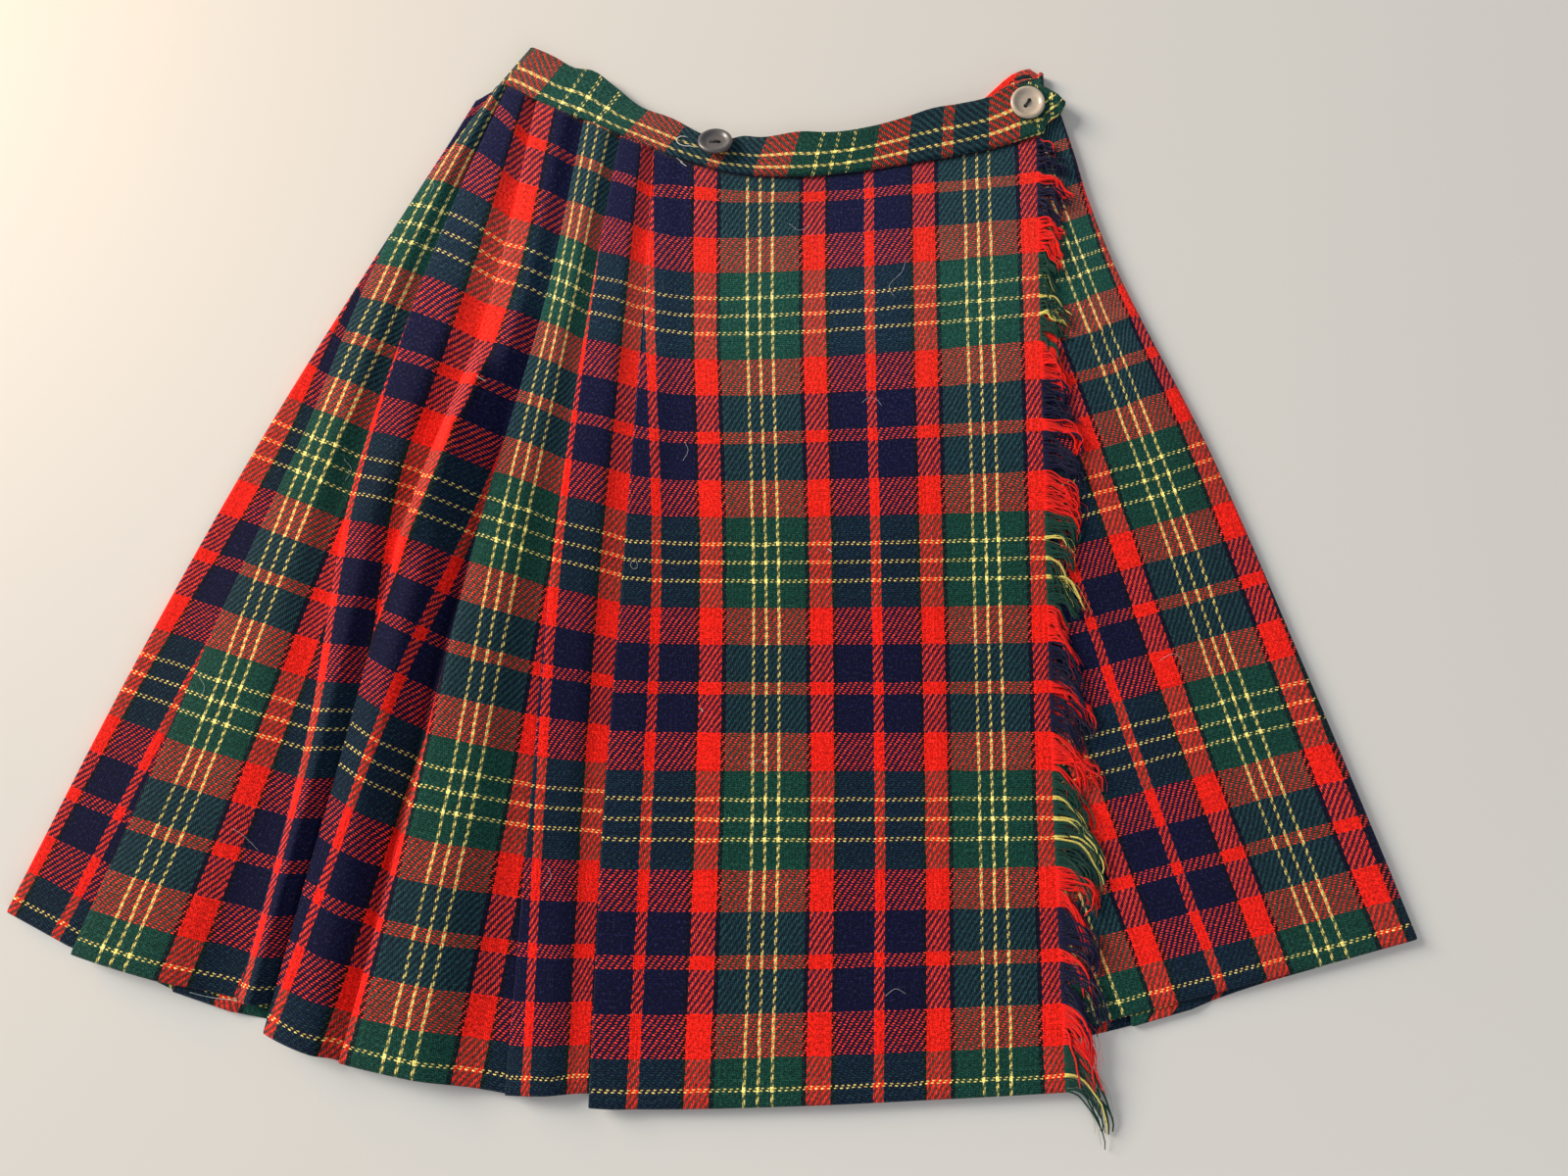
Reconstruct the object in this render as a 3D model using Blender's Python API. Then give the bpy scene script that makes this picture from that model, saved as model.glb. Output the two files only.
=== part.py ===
"""A pleated tartan wrap skirt lying flat, its fringed apron uppermost.

Every cloth piece is a ribbon: a path across the skirt, folded back on itself at each pleat, is carried
down the skirt from the waist seam to the hem and given the thickness of the wool. The places of the
folds come from the FOLDS table, which gives where each one crosses the waist seam, the three green
bands of the tartan and the hem. +X is the wearer's left, +Y points to the waistband, Z is up.
"""

import math

import bpy
import numpy as np

MM = 0.001

# Wool cloth, and how closely its layers lie
CLOTH = 1.2 * MM
GAP = 0.3 * MM
LAYER = CLOTH + GAP
BAND_CLOTH = 2.7 * MM

# Heights of the middle of each layer, from the table up
BACK_OUTER = CLOTH / 2
BACK_INNER = BACK_OUTER + 2 * LAYER
FRONT_LOW = BACK_INNER + LAYER
FRONT_MID = FRONT_LOW + LAYER
FRONT_HIGH = FRONT_MID + LAYER
SIDE_ROLL = (FRONT_LOW - BACK_OUTER) / 2

SKIRT_LENGTH = 573 * MM
STATIONS = (0.0, 0.18, 0.455, 0.725, 1.0)

# Where each fold or edge crosses (x, y) in mm: the waist seam, the first, second and third green
# band, and the hem.
FOLDS = {
    "left_side": ((-154, 291), (-197, 216), (-275, 75), (-344, -66), (-405, -204)),
    "pleat_1": ((-140, 300), (-197, 211), (-252, 66), (-308, -78), (-364, -227)),
    "pleat_2": ((-133, 301), (-170, 205), (-214, 50), (-233, -100), (-268, -252)),
    "pleat_3": ((-114, 292), (-133, 185), (-178, 39), (-211, -108), (-252, -270)),
    "pleat_4": ((-84, 280), (-102, 175), (-139, 26), (-171, -131), (-209, -286)),
    "pleat_5": ((-61, 270), (-77, 164), (-95, 11), (-105, -144), (-115, -303)),
    "pleat_6": ((-40, 259), (-45, 156), (-54, 0), (-63, -151), (-68, -310)),
    "apron_middle": ((26, 242), (26, 151), (30, -2), (30, -152), (26, -310)),
    "apron_edge": ((199, 268), (198, 164), (197, 1), (197, -151), (199, -302)),
    "under_end": ((66, 244), (76, 148), (86, 2), (88, -150), (84, -298)),
    "right_middle": ((194, 268), (220, 188), (265, 50), (308, -93), (354, -232)),
    "right_side": ((215, 278), (242, 195), (305, 62), (356, -82), (403, -219)),
}

# Each pleat: how far it tucks under at the waist and at the hem, as a share of the width of the
# panel it edges, and how much shorter the cloth beneath it hangs at the hem (mm).
PLEATS = {
    "pleat_1": (0.42, 0.42, 2),
    "pleat_2": (0.45, 0.12, 0),
    "pleat_3": (0.45, 0.60, 15),
    "pleat_4": (0.45, 0.08, 0),
    "pleat_5": (0.45, 0.08, 0),
    "pleat_6": (0.14, 0.14, 7),
}
LEFT_PANELS = ("pleat_6", "pleat_5", "pleat_4", "pleat_3", "pleat_2", "pleat_1")
APRON_SHARES = (1.0, 0.9, 0.8, 0.7, 0.6, 0.5, 0.4, 0.3, 0.2)
APRON_TUCK_MARGIN = 2 * MM
FRONT_SECTIONS = 15
APRON_SECTIONS = 13
SIDE_SECTIONS = 15

# The loose pleats stand up in a soft swell over the left of the front, parted by the deepest fold.
SWELL_HEIGHT = 9.5 * MM
SWELL_CENTRE = (-188, -80)
SWELL_REACH = (120, 215)
TROUGH_TOP = (-112, 130)
TROUGH_FOOT = (-166, -110)
TROUGH_DEPTH = 0.62
TROUGH_WIDTH = 17

# The back: knife pleats, their outer faces flat on the table
BACK_PLEATS = 9
BACK_SECTIONS = 8
BACK_TUCK = 0.42
BACK_EDGE_GAP = 1.8 * MM
SIDE_STRIP = 55 * MM
SIDE_STRIP_WAIST = 0.35
SIDE_ROLL_ANGLES = (90, 45, 0, -45, -90)
BACK_HEM = ((-350, -226), (-317, -244), (-274, -259), (-200, -271), (0, -284), (200, -276), (262, -261),
            (312, -245), (345, -236))

# Waistband: (x, y) of its lower and upper edges in mm, and the height of each edge's middle
BAND_LOWER = ((-154, 292), (-135, 301), (-120, 294), (-106, 287), (-82, 277), (-57, 266), (-26, 253),
              (4, 244), (29, 241), (77, 243), (128, 251), (173, 260), (205, 270))
BAND_UPPER = ((-120, 328), (-104, 321), (-92, 314), (-79, 312), (-67, 303), (-50, 289), (-30, 281), (-7, 269),
              (7, 267), (16, 269), (25, 268), (53, 271), (68, 270), (96, 274), (117, 280), (134, 286),
              (151, 289), (168, 293), (188, 302), (204, 301))
BAND_LEFT_END = (-135, -116)
BAND_RIGHT_END = (203, 202)
TAB = ((204.5, 274.5, 300.4), (208, 278.3, 298.2), (212, 280.6, 295.9), (215, 283.8, 292.6),
       (217, 287.4, 290.4))
BAND_FRONT_STEPS = 30
BAND_BACK_STEPS = 16
BAND_UNDER_STEPS = 7
BAND_ROLL_ANGLES = (45, 0, -45)
BAND_SEAM = 1.1 * MM
BAND_BACK = BAND_CLOTH / 2
BAND_UNDER = BAND_BACK + BAND_CLOTH + 0.6 * MM
BAND_FRONT = BAND_UNDER + BAND_CLOTH + 0.5 * MM
UNDER_BAND_END = 68

# How far the button pulls the front band's lower edge up and its upper edge down, and where (x in mm)
BAND_DIP = (2.2 * MM, -2.9 * MM)
BAND_DIP_PLACE = (-140, -70, 10, 60)
BAND_DIP_SHARE = (0, 1, 1, 0)

# The back band stands above the front one near the tab (x in mm), and so does its end turned under
BACK_BAND_PEAK = 15 * MM
BACK_PEAK_PLACE = (158, 172, 184, 198, 202)
BACK_PEAK_SHARE = (-0.15, 0.37, 0.7, 1, 0.75)
UNDER_PEAK_PLACE = (165, 202)
UNDER_PEAK_SHARE = (0, 0.45)

# Buttons: the profile's (radius, height) in mm, from the dish round the rim to the back
BUTTON_PROFILE = ((6.6, 1.2), (7.9, 2.3), (9.3, 3.0), (10.8, 2.2), (10.8, 1.2), (9.0, 0.0))
BUTTON_SIDES = 28
BUTTON_HOLE = 1.0 * MM
BUTTON_HOLE_APART = 2.1 * MM
HOLE_CUTTER_REACH = 6 * MM
HOLE_CUTTER_SIDES = 10
TAB_BUTTON = (194, 289)
TAB_BUTTON_TURN = 56
BAND_BUTTON = (-2, 262)
BAND_BUTTON_TURN = 0
BAND_BUTTON_TILT = 22
BAND_BUTTON_RISE = 9.5 * MM

# Fringe: strands that arc out from the edge through STRAND_TURN (radians) and droop, in locks whose
# length and droop vary by waves of (turns per strand, start, share)
STRANDS = 118
STRAND_WIDTH = 1.3 * MM
STRAND_THICKNESS = 0.9 * MM
STRAND_STEPS = 4
STRAND_TURN = 1.35
STRAND_REACH = 21 * MM
STRAND_DROOP = 13 * MM
REACH_WAVES = ((0.31, 0.0, 0.2), (0.13, 1.0, 0.12))
DROOP_WAVE = (0.11, 0.6, 0.35)
DROOP_AT_ENDS = (0.55, 1.15)
ARCH = 0.5 * MM
BACKING_WIDTH = 1.6 * MM
FRINGE_LEVEL = FRONT_MID + 0.5 * MM

# The last strands hang past the hem: from and to which share of the edge, how much further, how low
LAST_STRANDS = (0.93, 0.99)
LAST_DROOP = 0.55
FRINGE_TIP_FLOOR = 1.4 * MM

# The skirt's middle, set over the origin
CENTRE = (-1.0 * MM, -0.4 * MM)


def smooth_curve(table, at):
    """Points of the smooth curve through the table's rows, whose first column is the station."""
    rows = np.asarray(table, float)
    station, value = rows[:, 0], rows[:, 1:]
    slope = np.gradient(value, station, axis=0)
    at = np.atleast_1d(np.asarray(at, float))
    k = np.clip(np.searchsorted(station, at) - 1, 0, len(station) - 2)
    step = (station[k + 1] - station[k])[:, None]
    s = (at - station[k])[:, None] / step
    return (
        (2 * s**3 - 3 * s**2 + 1) * value[k]
        + (s**3 - 2 * s**2 + s) * step * slope[k]
        + (3 * s**2 - 2 * s**3) * value[k + 1]
        + (s**3 - s**2) * step * slope[k + 1]
    )


def fold_line(name, down):
    """Points (x, y) in metres of one fold, at shares of the way down from the seam to the hem."""
    rows = [(share, *point) for share, point in zip(STATIONS, FOLDS[name])]
    return smooth_curve(rows, down) * MM


def seam_height(x):
    """The y of the waist seam at x: the band's lower edge, a little below it."""
    return smooth_curve(BAND_LOWER, np.asarray(x) / MM)[:, 0] * MM - BAND_SEAM


def swell(points):
    """Height that the loose pleats add to the front at each (x, y): a dome, less the trough across it."""
    x, y = points[..., 0] / MM, points[..., 1] / MM
    across = (x - SWELL_CENTRE[0]) / SWELL_REACH[0]
    down = (y - SWELL_CENTRE[1]) / SWELL_REACH[1]
    dome = np.clip(1 - across**2 - down**2, 0, 1) ** 1.5
    lean = (TROUGH_FOOT[0] - TROUGH_TOP[0]) / (TROUGH_FOOT[1] - TROUGH_TOP[1])
    from_trough = (x - TROUGH_TOP[0] - lean * (y - TROUGH_TOP[1])) / TROUGH_WIDTH
    return SWELL_HEIGHT * dome * (1 - TROUGH_DEPTH * np.exp(-(from_trough**2)))


def unit(vectors):
    return vectors / np.maximum(np.linalg.norm(vectors, axis=-1, keepdims=True), 1e-12)


def coloured(name, colour, roughness):
    material = bpy.data.materials.new(name)
    material.use_nodes = True
    shader = material.node_tree.nodes["Principled BSDF"]
    shader.inputs["Base Color"].default_value = (*colour, 1)
    shader.inputs["Roughness"].default_value = roughness
    return material


def make_object(name, points, faces, material):
    """A mesh object from arrays, turned so that its faces point outwards."""
    points = np.asarray(points, float) - np.array([*CENTRE, 0.0])
    volume = 0.0
    for face in faces:
        for i in range(1, len(face) - 1):
            corners = points[[face[0], face[i], face[i + 1]]]
            volume += np.linalg.det(corners)
    if volume < 0:
        faces = [face[::-1] for face in faces]
    mesh = bpy.data.meshes.new(name)
    mesh.from_pydata([tuple(p) for p in points], [], [tuple(int(i) for i in face) for face in faces])
    mesh.materials.append(material)
    mesh.shade_smooth()
    mesh.set_sharp_from_angle(angle=math.radians(40))
    made = bpy.data.objects.new(name, mesh)
    bpy.context.collection.objects.link(made)
    return made


def ribbon(name, middle, thickness, material):
    """A closed cloth wall round the grid of its middle points, rows down the skirt by path points."""
    along = np.gradient(middle, axis=1)
    down = np.gradient(middle, axis=0)
    normal = unit(np.cross(along, down))
    points = np.concatenate([middle + normal * thickness / 2, middle - normal * thickness / 2])
    rows, steps = middle.shape[:2]
    index = np.arange(2 * rows * steps).reshape(2, rows, steps)
    faces = []
    for side, turn in ((0, 1), (1, -1)):
        sheet = index[side]
        quads = np.stack([sheet[:-1, :-1], sheet[1:, :-1], sheet[1:, 1:], sheet[:-1, 1:]], axis=-1)
        faces += quads.reshape(-1, 4)[:, ::turn].tolist()
    top, right, hem, left = index[:, 0, :], index[:, 1:, -1], index[:, -1, -2::-1], index[:, -2:0:-1, 0]
    border = np.concatenate([top, right, hem, left], axis=1)
    ring = border.shape[1]
    for i in range(ring):
        j = (i + 1) % ring
        faces.append([border[0, i], border[0, j], border[1, j], border[1, i]])
    return make_object(name, points.reshape(-1, 3), faces, material)


class Path:
    """Collects a cloth's path, one column of (x, y, z) rows for each point across the skirt."""

    def __init__(self):
        self.columns = []

    def add(self, place, height):
        """Adds a column at the (x, y) rows of place, at a height, with its top end on the waist seam."""
        place = np.array(place)
        place[0, 1] = seam_height(place[0, 0])[0]
        column = np.column_stack([place, np.broadcast_to(height, len(place))])
        self.columns.append(column)

    def grid(self):
        return np.stack(self.columns, axis=1)


def pleat_frame(fold, right_fold, down):
    """The fold's line, the direction across to the right, the tuck's depth and the panel's width."""
    line = fold_line(fold, down)
    right = fold_line(right_fold, down)
    width = np.linalg.norm(right - line, axis=1)
    at_waist, at_hem, _ = PLEATS[fold]
    depth = width * (at_waist + (at_hem - at_waist) * down)
    return line, unit(right - line), depth[:, None], width[:, None]


def under_line(fold, down):
    """The same fold for the cloth that lies under it, whose hem hangs a little higher."""
    shorter = PLEATS[fold][2] * MM / SKIRT_LENGTH
    return fold_line(fold, down * (1 - shorter * down))


def add_tuck(path, fold, right_fold, down):
    """One pleat of the front: over its edge, back under it to the right, and round to the layer below."""
    line, across, depth, _ = pleat_frame(fold, right_fold, down)
    below = under_line(fold, down)
    middle = (line + below) / 2
    turn = LAYER / 2
    path.add(line + across * depth * 0.5, FRONT_HIGH + swell(line))
    path.add(line + across * turn, FRONT_HIGH + swell(line))
    path.add(line, FRONT_HIGH - turn + swell(line))
    path.add(line + across * turn, FRONT_MID + swell(line))
    path.add(middle + across * depth * 0.5, FRONT_MID + swell(middle))
    path.add(middle + across * (depth - turn), FRONT_MID + swell(middle))
    path.add(middle + across * depth, FRONT_MID - turn + swell(middle))
    path.add(below + across * (depth - turn), FRONT_LOW + swell(below))


def add_side(path, side, inward, down):
    """The round side of the skirt, and the strip that turns under it to the back."""
    for angle in SIDE_ROLL_ANGLES:
        reach = SIDE_ROLL * (1 - math.cos(math.radians(angle)))
        height = BACK_OUTER + SIDE_ROLL * (1 + math.sin(math.radians(angle)))
        path.add(side + inward * reach, height)
    for share in (0.5, 1.0):
        path.add(side + inward * strip_reach(share, down), BACK_OUTER)


def strip_reach(share, down):
    """How far in from the side a share of the turned-under strip reaches; it is narrower at the waist."""
    widening = SIDE_STRIP_WAIST + (1 - SIDE_STRIP_WAIST) * down
    return (SIDE_ROLL + (SIDE_STRIP - SIDE_ROLL) * share * widening)[:, None]


def left_pleats(material):
    """The front's left panels in one length of cloth, pleated, and round the left side to the back."""
    down = np.linspace(0, 1, FRONT_SECTIONS)
    path = Path()
    _, across, depth, _ = pleat_frame("pleat_6", "apron_middle", down)
    below = under_line("pleat_6", down)
    path.add(below + across * depth, FRONT_LOW + swell(below))
    for right_fold, fold in zip(LEFT_PANELS[:-1], LEFT_PANELS[1:]):
        under = under_line(right_fold, down)
        line, across, depth, width = pleat_frame(fold, right_fold, down)
        rest = width - depth
        near = line + across * (depth + rest * 0.15)
        path.add(under, FRONT_LOW + swell(under))
        path.add(under - across * rest * 0.25, FRONT_LOW + swell(under))
        path.add(near, FRONT_HIGH + swell(near))
        add_tuck(path, fold, right_fold, down)
    side = fold_line("left_side", down)
    start = path.columns[-1][:, :2]
    inward = unit(start - side)
    for share in (0.66, 0.33):
        place = side + (start - side) * share + inward * SIDE_ROLL * (1 - share)
        path.add(place, FRONT_LOW + swell(place))
    add_side(path, side, inward, down)
    return ribbon("left_pleats", path.grid(), CLOTH, material)


def over_apron(material):
    """The flat apron with its tuck at the left, lying over everything else."""
    down = np.linspace(0, 1, APRON_SECTIONS)
    fold, middle, edge = (fold_line(name, down) for name in ("pleat_6", "apron_middle", "apron_edge"))
    _, across, depth, _ = pleat_frame("pleat_6", "apron_middle", down)
    path = Path()
    for share in APRON_SHARES:
        from_fold = (1 - share) * (1 - 2 * share)
        from_middle = 4 * share * (1 - share)
        from_edge = share * (2 * share - 1)
        place = fold * from_fold + middle * from_middle + edge * from_edge
        path.add(place, FRONT_MID + swell(place))
    near = fold + across * (depth + APRON_TUCK_MARGIN)
    path.add(near, FRONT_HIGH + swell(near))
    path.add(fold + across * depth * 0.5, FRONT_HIGH + swell(fold))
    path.add(fold + across * LAYER / 2, FRONT_HIGH + swell(fold))
    path.add(fold, FRONT_HIGH - LAYER / 2 + swell(fold))
    path.add(fold + across * LAYER / 2, FRONT_MID + swell(fold))
    path.add(fold + across * depth * 0.5, FRONT_MID + swell(fold))
    path.add(fold + across * (depth - APRON_TUCK_MARGIN / 2), FRONT_MID + swell(fold))
    return ribbon("over_apron", path.grid(), CLOTH, material)


def under_apron(material):
    """The right front panel, which goes on under the apron, and round the right side to the back."""
    down = np.linspace(0, 1, SIDE_SECTIONS)
    start, middle, side = (fold_line(name, down) for name in ("under_end", "right_middle", "right_side"))
    path = Path()
    for share in (0.0, 0.2, 0.4, 0.6, 0.8, 1.0):
        path.add(start + (middle - start) * share, FRONT_LOW)
    inward = unit(middle - side)
    path.add((middle + side + inward * SIDE_ROLL) / 2, FRONT_LOW)
    add_side(path, side, inward, down)
    return ribbon("under_apron", path.grid(), CLOTH, material)


def side_strip_end(name, middle, down):
    """The line where a side's turned-under strip ends and the back's cloth begins."""
    side = fold_line(name, down)
    inward = unit(fold_line(middle, down) - side)
    return side + inward * strip_reach(1, down)


def back_pleats(material):
    """The back's knife pleats: each outer face lies on the table and tucks under towards the left."""
    down = np.linspace(0, 1, BACK_SECTIONS)
    left = side_strip_end("left_side", "pleat_2", down)
    right = side_strip_end("right_side", "right_middle", down)
    across = unit(right - left)
    left = left + across * BACK_EDGE_GAP
    right = right - across * BACK_EDGE_GAP
    width = np.linalg.norm(right - left, axis=1)[:, None] / BACK_PLEATS
    depth = width * BACK_TUCK
    turn = LAYER / 2
    path = Path()

    def add(distance, height):
        place = left + across * distance
        hem = smooth_curve(BACK_HEM, [place[-1, 0] / MM])[0, 0] * MM
        seam = seam_height(place[0, 0])[0]
        place[:, 1] = seam + (hem - seam) * down
        path.add(place, height)

    add(0 * width, BACK_OUTER)
    for pleat in range(1, BACK_PLEATS):
        edge = width * pleat
        add(edge - width * 0.3, BACK_OUTER)
        add(edge - turn, BACK_OUTER)
        add(edge, BACK_OUTER + turn)
        add(edge - turn, BACK_OUTER + LAYER)
        add(edge - depth + turn, BACK_OUTER + LAYER)
        add(edge - depth, BACK_OUTER + LAYER + turn)
        add(edge - depth + turn, BACK_INNER)
        add(edge + turn, BACK_INNER)
        add(edge + width * 0.2 + turn, BACK_OUTER)
    add(width * BACK_PLEATS, BACK_OUTER)
    return ribbon("back_pleats", path.grid(), CLOTH, material)


def band_edges(share):
    """The (x, y) of the band's lower and upper edges, at a share of the way from right to left."""
    x_low, x_up = (right + (left - right) * share for right, left in zip(BAND_RIGHT_END, BAND_LEFT_END))
    y_low = smooth_curve(BAND_LOWER, x_low)[0, 0]
    y_up = smooth_curve(BAND_UPPER, x_up)[0, 0]
    return np.array([x_low, y_low]) * MM, np.array([x_up, y_up]) * MM


def waistband(material):
    """One strip of doubled cloth: from the rounded tab, left across the front, round the left side,
    along the back, round the right side and in under the apron."""
    places = []

    def add(lower, upper, low_height, up_height):
        places.append((np.array([*lower, low_height]), np.array([*upper, up_height])))

    def add_roll(lower, upper, outward, bottom, top, angles):
        radius = (top - bottom) / 2
        for angle in angles:
            shift = outward * radius * math.cos(math.radians(angle))
            height = bottom + radius * (1 + math.sin(math.radians(angle)))
            add(lower + shift, upper + shift, height, height)

    for x, y_low, y_up in TAB[::-1]:
        add((x * MM, y_low * MM), (x * MM, y_up * MM), BAND_FRONT, BAND_FRONT)
    for share in np.linspace(0, 1, BAND_FRONT_STEPS):
        lower, upper = band_edges(share)
        dip = np.interp(lower[0] / MM, BAND_DIP_PLACE, BAND_DIP_SHARE)
        add(lower, upper, BAND_FRONT + BAND_DIP[0] * dip, BAND_FRONT + BAND_DIP[1] * dip)
    before, _ = band_edges(0.97)
    add_roll(lower, upper, unit(lower - before), BAND_BACK, BAND_FRONT, BAND_ROLL_ANGLES)
    for share in np.linspace(1, 0, BAND_BACK_STEPS):
        lower, upper = band_edges(share)
        peak = BACK_BAND_PEAK * np.interp(upper[0] / MM, BACK_PEAK_PLACE, BACK_PEAK_SHARE)
        add(lower, upper + np.array([0, peak]), BAND_BACK, BAND_BACK)
    end = upper + np.array([0, peak])
    add_roll(lower, end, np.array([1, 0]), BAND_BACK, BAND_UNDER, BAND_ROLL_ANGLES[::-1])
    reach = (BAND_RIGHT_END[0] - UNDER_BAND_END) / (BAND_RIGHT_END[0] - BAND_LEFT_END[0])
    for share in np.linspace(0, reach, BAND_UNDER_STEPS):
        lower, upper = band_edges(share)
        lift = BACK_BAND_PEAK * np.interp(upper[0] / MM, UNDER_PEAK_PLACE, UNDER_PEAK_SHARE)
        add(lower, upper + np.array([0, lift]), BAND_UNDER, BAND_UNDER)
    rows = [[low + (up - low) * s for low, up in places] for s in (1.0, 0.5, 0.0)]
    return ribbon("waistband", np.array(rows), BAND_CLOTH, material)


def hole_cutter(name, place):
    """A rod that bores one of a button's holes."""
    sides = HOLE_CUTTER_SIDES
    angle = np.arange(sides) * 2 * math.pi / sides
    ring = np.column_stack([np.cos(angle), np.sin(angle)]) * BUTTON_HOLE + place
    heights = (-HOLE_CUTTER_REACH, HOLE_CUTTER_REACH)
    points = np.concatenate([np.column_stack([ring, np.full(sides, height)]) for height in heights])
    faces = [list(range(sides))[::-1], list(range(sides, 2 * sides))]
    faces += [[i, (i + 1) % sides, sides + (i + 1) % sides, sides + i] for i in range(sides)]
    mesh = bpy.data.meshes.new(name)
    mesh.from_pydata(points.tolist(), [], faces)
    cutter = bpy.data.objects.new(name, mesh)
    bpy.context.collection.objects.link(cutter)
    cutter.hide_render = True
    cutter.display_type = "WIRE"
    return cutter


def button(name, place, height, turn, tilt, material):
    """A turned button with a raised rim, two holes bored through its dished middle."""
    angle = np.arange(BUTTON_SIDES) * 2 * math.pi / BUTTON_SIDES
    points = []
    for radius, rise in BUTTON_PROFILE:
        ring = np.column_stack([np.cos(angle) * radius, np.sin(angle) * radius, np.full(BUTTON_SIDES, rise)])
        points += (ring * MM).tolist()
    rings = len(BUTTON_PROFILE)
    faces = [list(range(BUTTON_SIDES)), list(range((rings - 1) * BUTTON_SIDES, rings * BUTTON_SIDES))[::-1]]
    for ring in range(rings - 1):
        start = ring * BUTTON_SIDES
        for i in range(BUTTON_SIDES):
            j = (i + 1) % BUTTON_SIDES
            faces.append([start + i, start + BUTTON_SIDES + i, start + BUTTON_SIDES + j, start + j])
    mesh = bpy.data.meshes.new(name)
    mesh.from_pydata(points, [], faces)
    mesh.materials.append(material)
    mesh.shade_smooth()
    mesh.set_sharp_from_angle(angle=math.radians(50))
    made = bpy.data.objects.new(name, mesh)
    bpy.context.collection.objects.link(made)
    made.location = (place[0] * MM - CENTRE[0], place[1] * MM - CENTRE[1], height)
    made.rotation_euler = (math.radians(-tilt), 0, math.radians(turn))
    for side in (-1, 1):
        cutter = hole_cutter(f"{name}_hole", (side * BUTTON_HOLE_APART, 0))
        cutter.parent = made
        cut = made.modifiers.new("hole", "BOOLEAN")
        cut.operation = "DIFFERENCE"
        cut.object = cutter
    return made


def strand_sections(number, root):
    """The four-cornered rings along one strand, from just past its root to its tip."""
    share = (number + 0.5) / STRANDS
    last = np.clip((share - LAST_STRANDS[0]) / (LAST_STRANDS[1] - LAST_STRANDS[0]), 0, 1)
    longer = sum(size * math.sin(number * rate + start) for rate, start, size in REACH_WAVES)
    reach = STRAND_REACH * (1 + longer)
    rate, start, size = DROOP_WAVE
    droop = STRAND_DROOP * (1 + size * math.sin(number * rate + start))
    droop *= np.interp(share, (0, 1), DROOP_AT_ENDS) * (1 + LAST_DROOP * last)
    drop = last * (FRINGE_LEVEL - FRINGE_TIP_FLOOR)
    rings = []
    for s in np.arange(1, STRAND_STEPS + 1) / STRAND_STEPS:
        turn = s * STRAND_TURN
        place = root + np.array([reach * math.sin(turn), -droop * s**2])
        heading = np.array([math.cos(turn) * reach * STRAND_TURN, -2 * droop * s])
        side = unit(np.array([-heading[1], heading[0]])) * STRAND_WIDTH * (0.625 - 0.3 * s)
        height = FRINGE_LEVEL + ARCH * math.sin(s * 2.6) - drop * s**1.5
        top, bottom = height + STRAND_THICKNESS / 2, height - STRAND_THICKNESS / 2
        left, right = place + side, place - side
        rings.append([(*left, top), (*right, top), (*right, bottom), (*left, bottom)])
    return rings


def fringe(material):
    """The apron's raw edge: strands of frayed weft, fused at their roots into a narrow strip."""
    edge = fold_line("apron_edge", np.linspace(0, 1, STRANDS + 1))
    edge[0, 1] = seam_height(edge[0, 0])[0]
    inner = edge + np.array([CLOTH / 2, 0])
    outer = inner + np.array([BACKING_WIDTH, 0])
    heights = (FRONT_MID + CLOTH / 2, FRONT_MID - CLOTH / 2)
    count = STRANDS + 1
    lines = [np.column_stack([line, np.full(count, z)]) for line in (inner, outer) for z in heights]
    points = np.concatenate(lines).tolist()
    top_in, low_in, top_out, low_out = (np.arange(count) + k * count for k in range(4))
    faces = [
        [top_in[0], low_in[0], low_out[0], top_out[0]],
        [top_in[-1], top_out[-1], low_out[-1], low_in[-1]],
    ]
    for i in range(STRANDS):
        faces.append([top_in[i], top_out[i], top_out[i + 1], top_in[i + 1]])
        faces.append([low_in[i], low_in[i + 1], low_out[i + 1], low_out[i]])
        faces.append([top_in[i], top_in[i + 1], low_in[i + 1], low_in[i]])
        ring = [top_out[i], top_out[i + 1], low_out[i + 1], low_out[i]]
        for corners in strand_sections(i, (outer[i] + outer[i + 1]) / 2):
            new = [len(points) + k for k in range(4)]
            points += corners
            faces += [[ring[k], new[k], new[(k + 1) % 4], ring[(k + 1) % 4]] for k in range(4)]
            ring = new
        faces.append(ring[::-1])
    return make_object("fringe", points, faces, material)


def build():
    for existing in list(bpy.data.objects):
        bpy.data.objects.remove(existing, do_unlink=True)
    apron_cloth = coloured("apron wool", (0.42, 0.05, 0.06), 0.9)
    pleat_cloth = coloured("pleat wool", (0.09, 0.13, 0.16), 0.9)
    under_cloth = coloured("under apron wool", (0.05, 0.16, 0.12), 0.9)
    back_cloth = coloured("back wool", (0.12, 0.07, 0.14), 0.9)
    band_cloth = coloured("waistband wool", (0.06, 0.15, 0.11), 0.9)
    yarn = coloured("fringe yarn", (0.5, 0.05, 0.04), 0.95)
    taupe = coloured("taupe button", (0.42, 0.33, 0.26), 0.3)
    grey = coloured("grey button", (0.12, 0.11, 0.11), 0.35)
    left_pleats(pleat_cloth)
    over_apron(apron_cloth)
    under_apron(under_cloth)
    back_pleats(back_cloth)
    waistband(band_cloth)
    fringe(yarn)
    band_top = BAND_FRONT + BAND_CLOTH / 2
    button("button_tab", TAB_BUTTON, band_top + GAP, TAB_BUTTON_TURN, 0, taupe)
    button("button_band", BAND_BUTTON, BAND_BUTTON_RISE, BAND_BUTTON_TURN, BAND_BUTTON_TILT, grey)


build()
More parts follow.
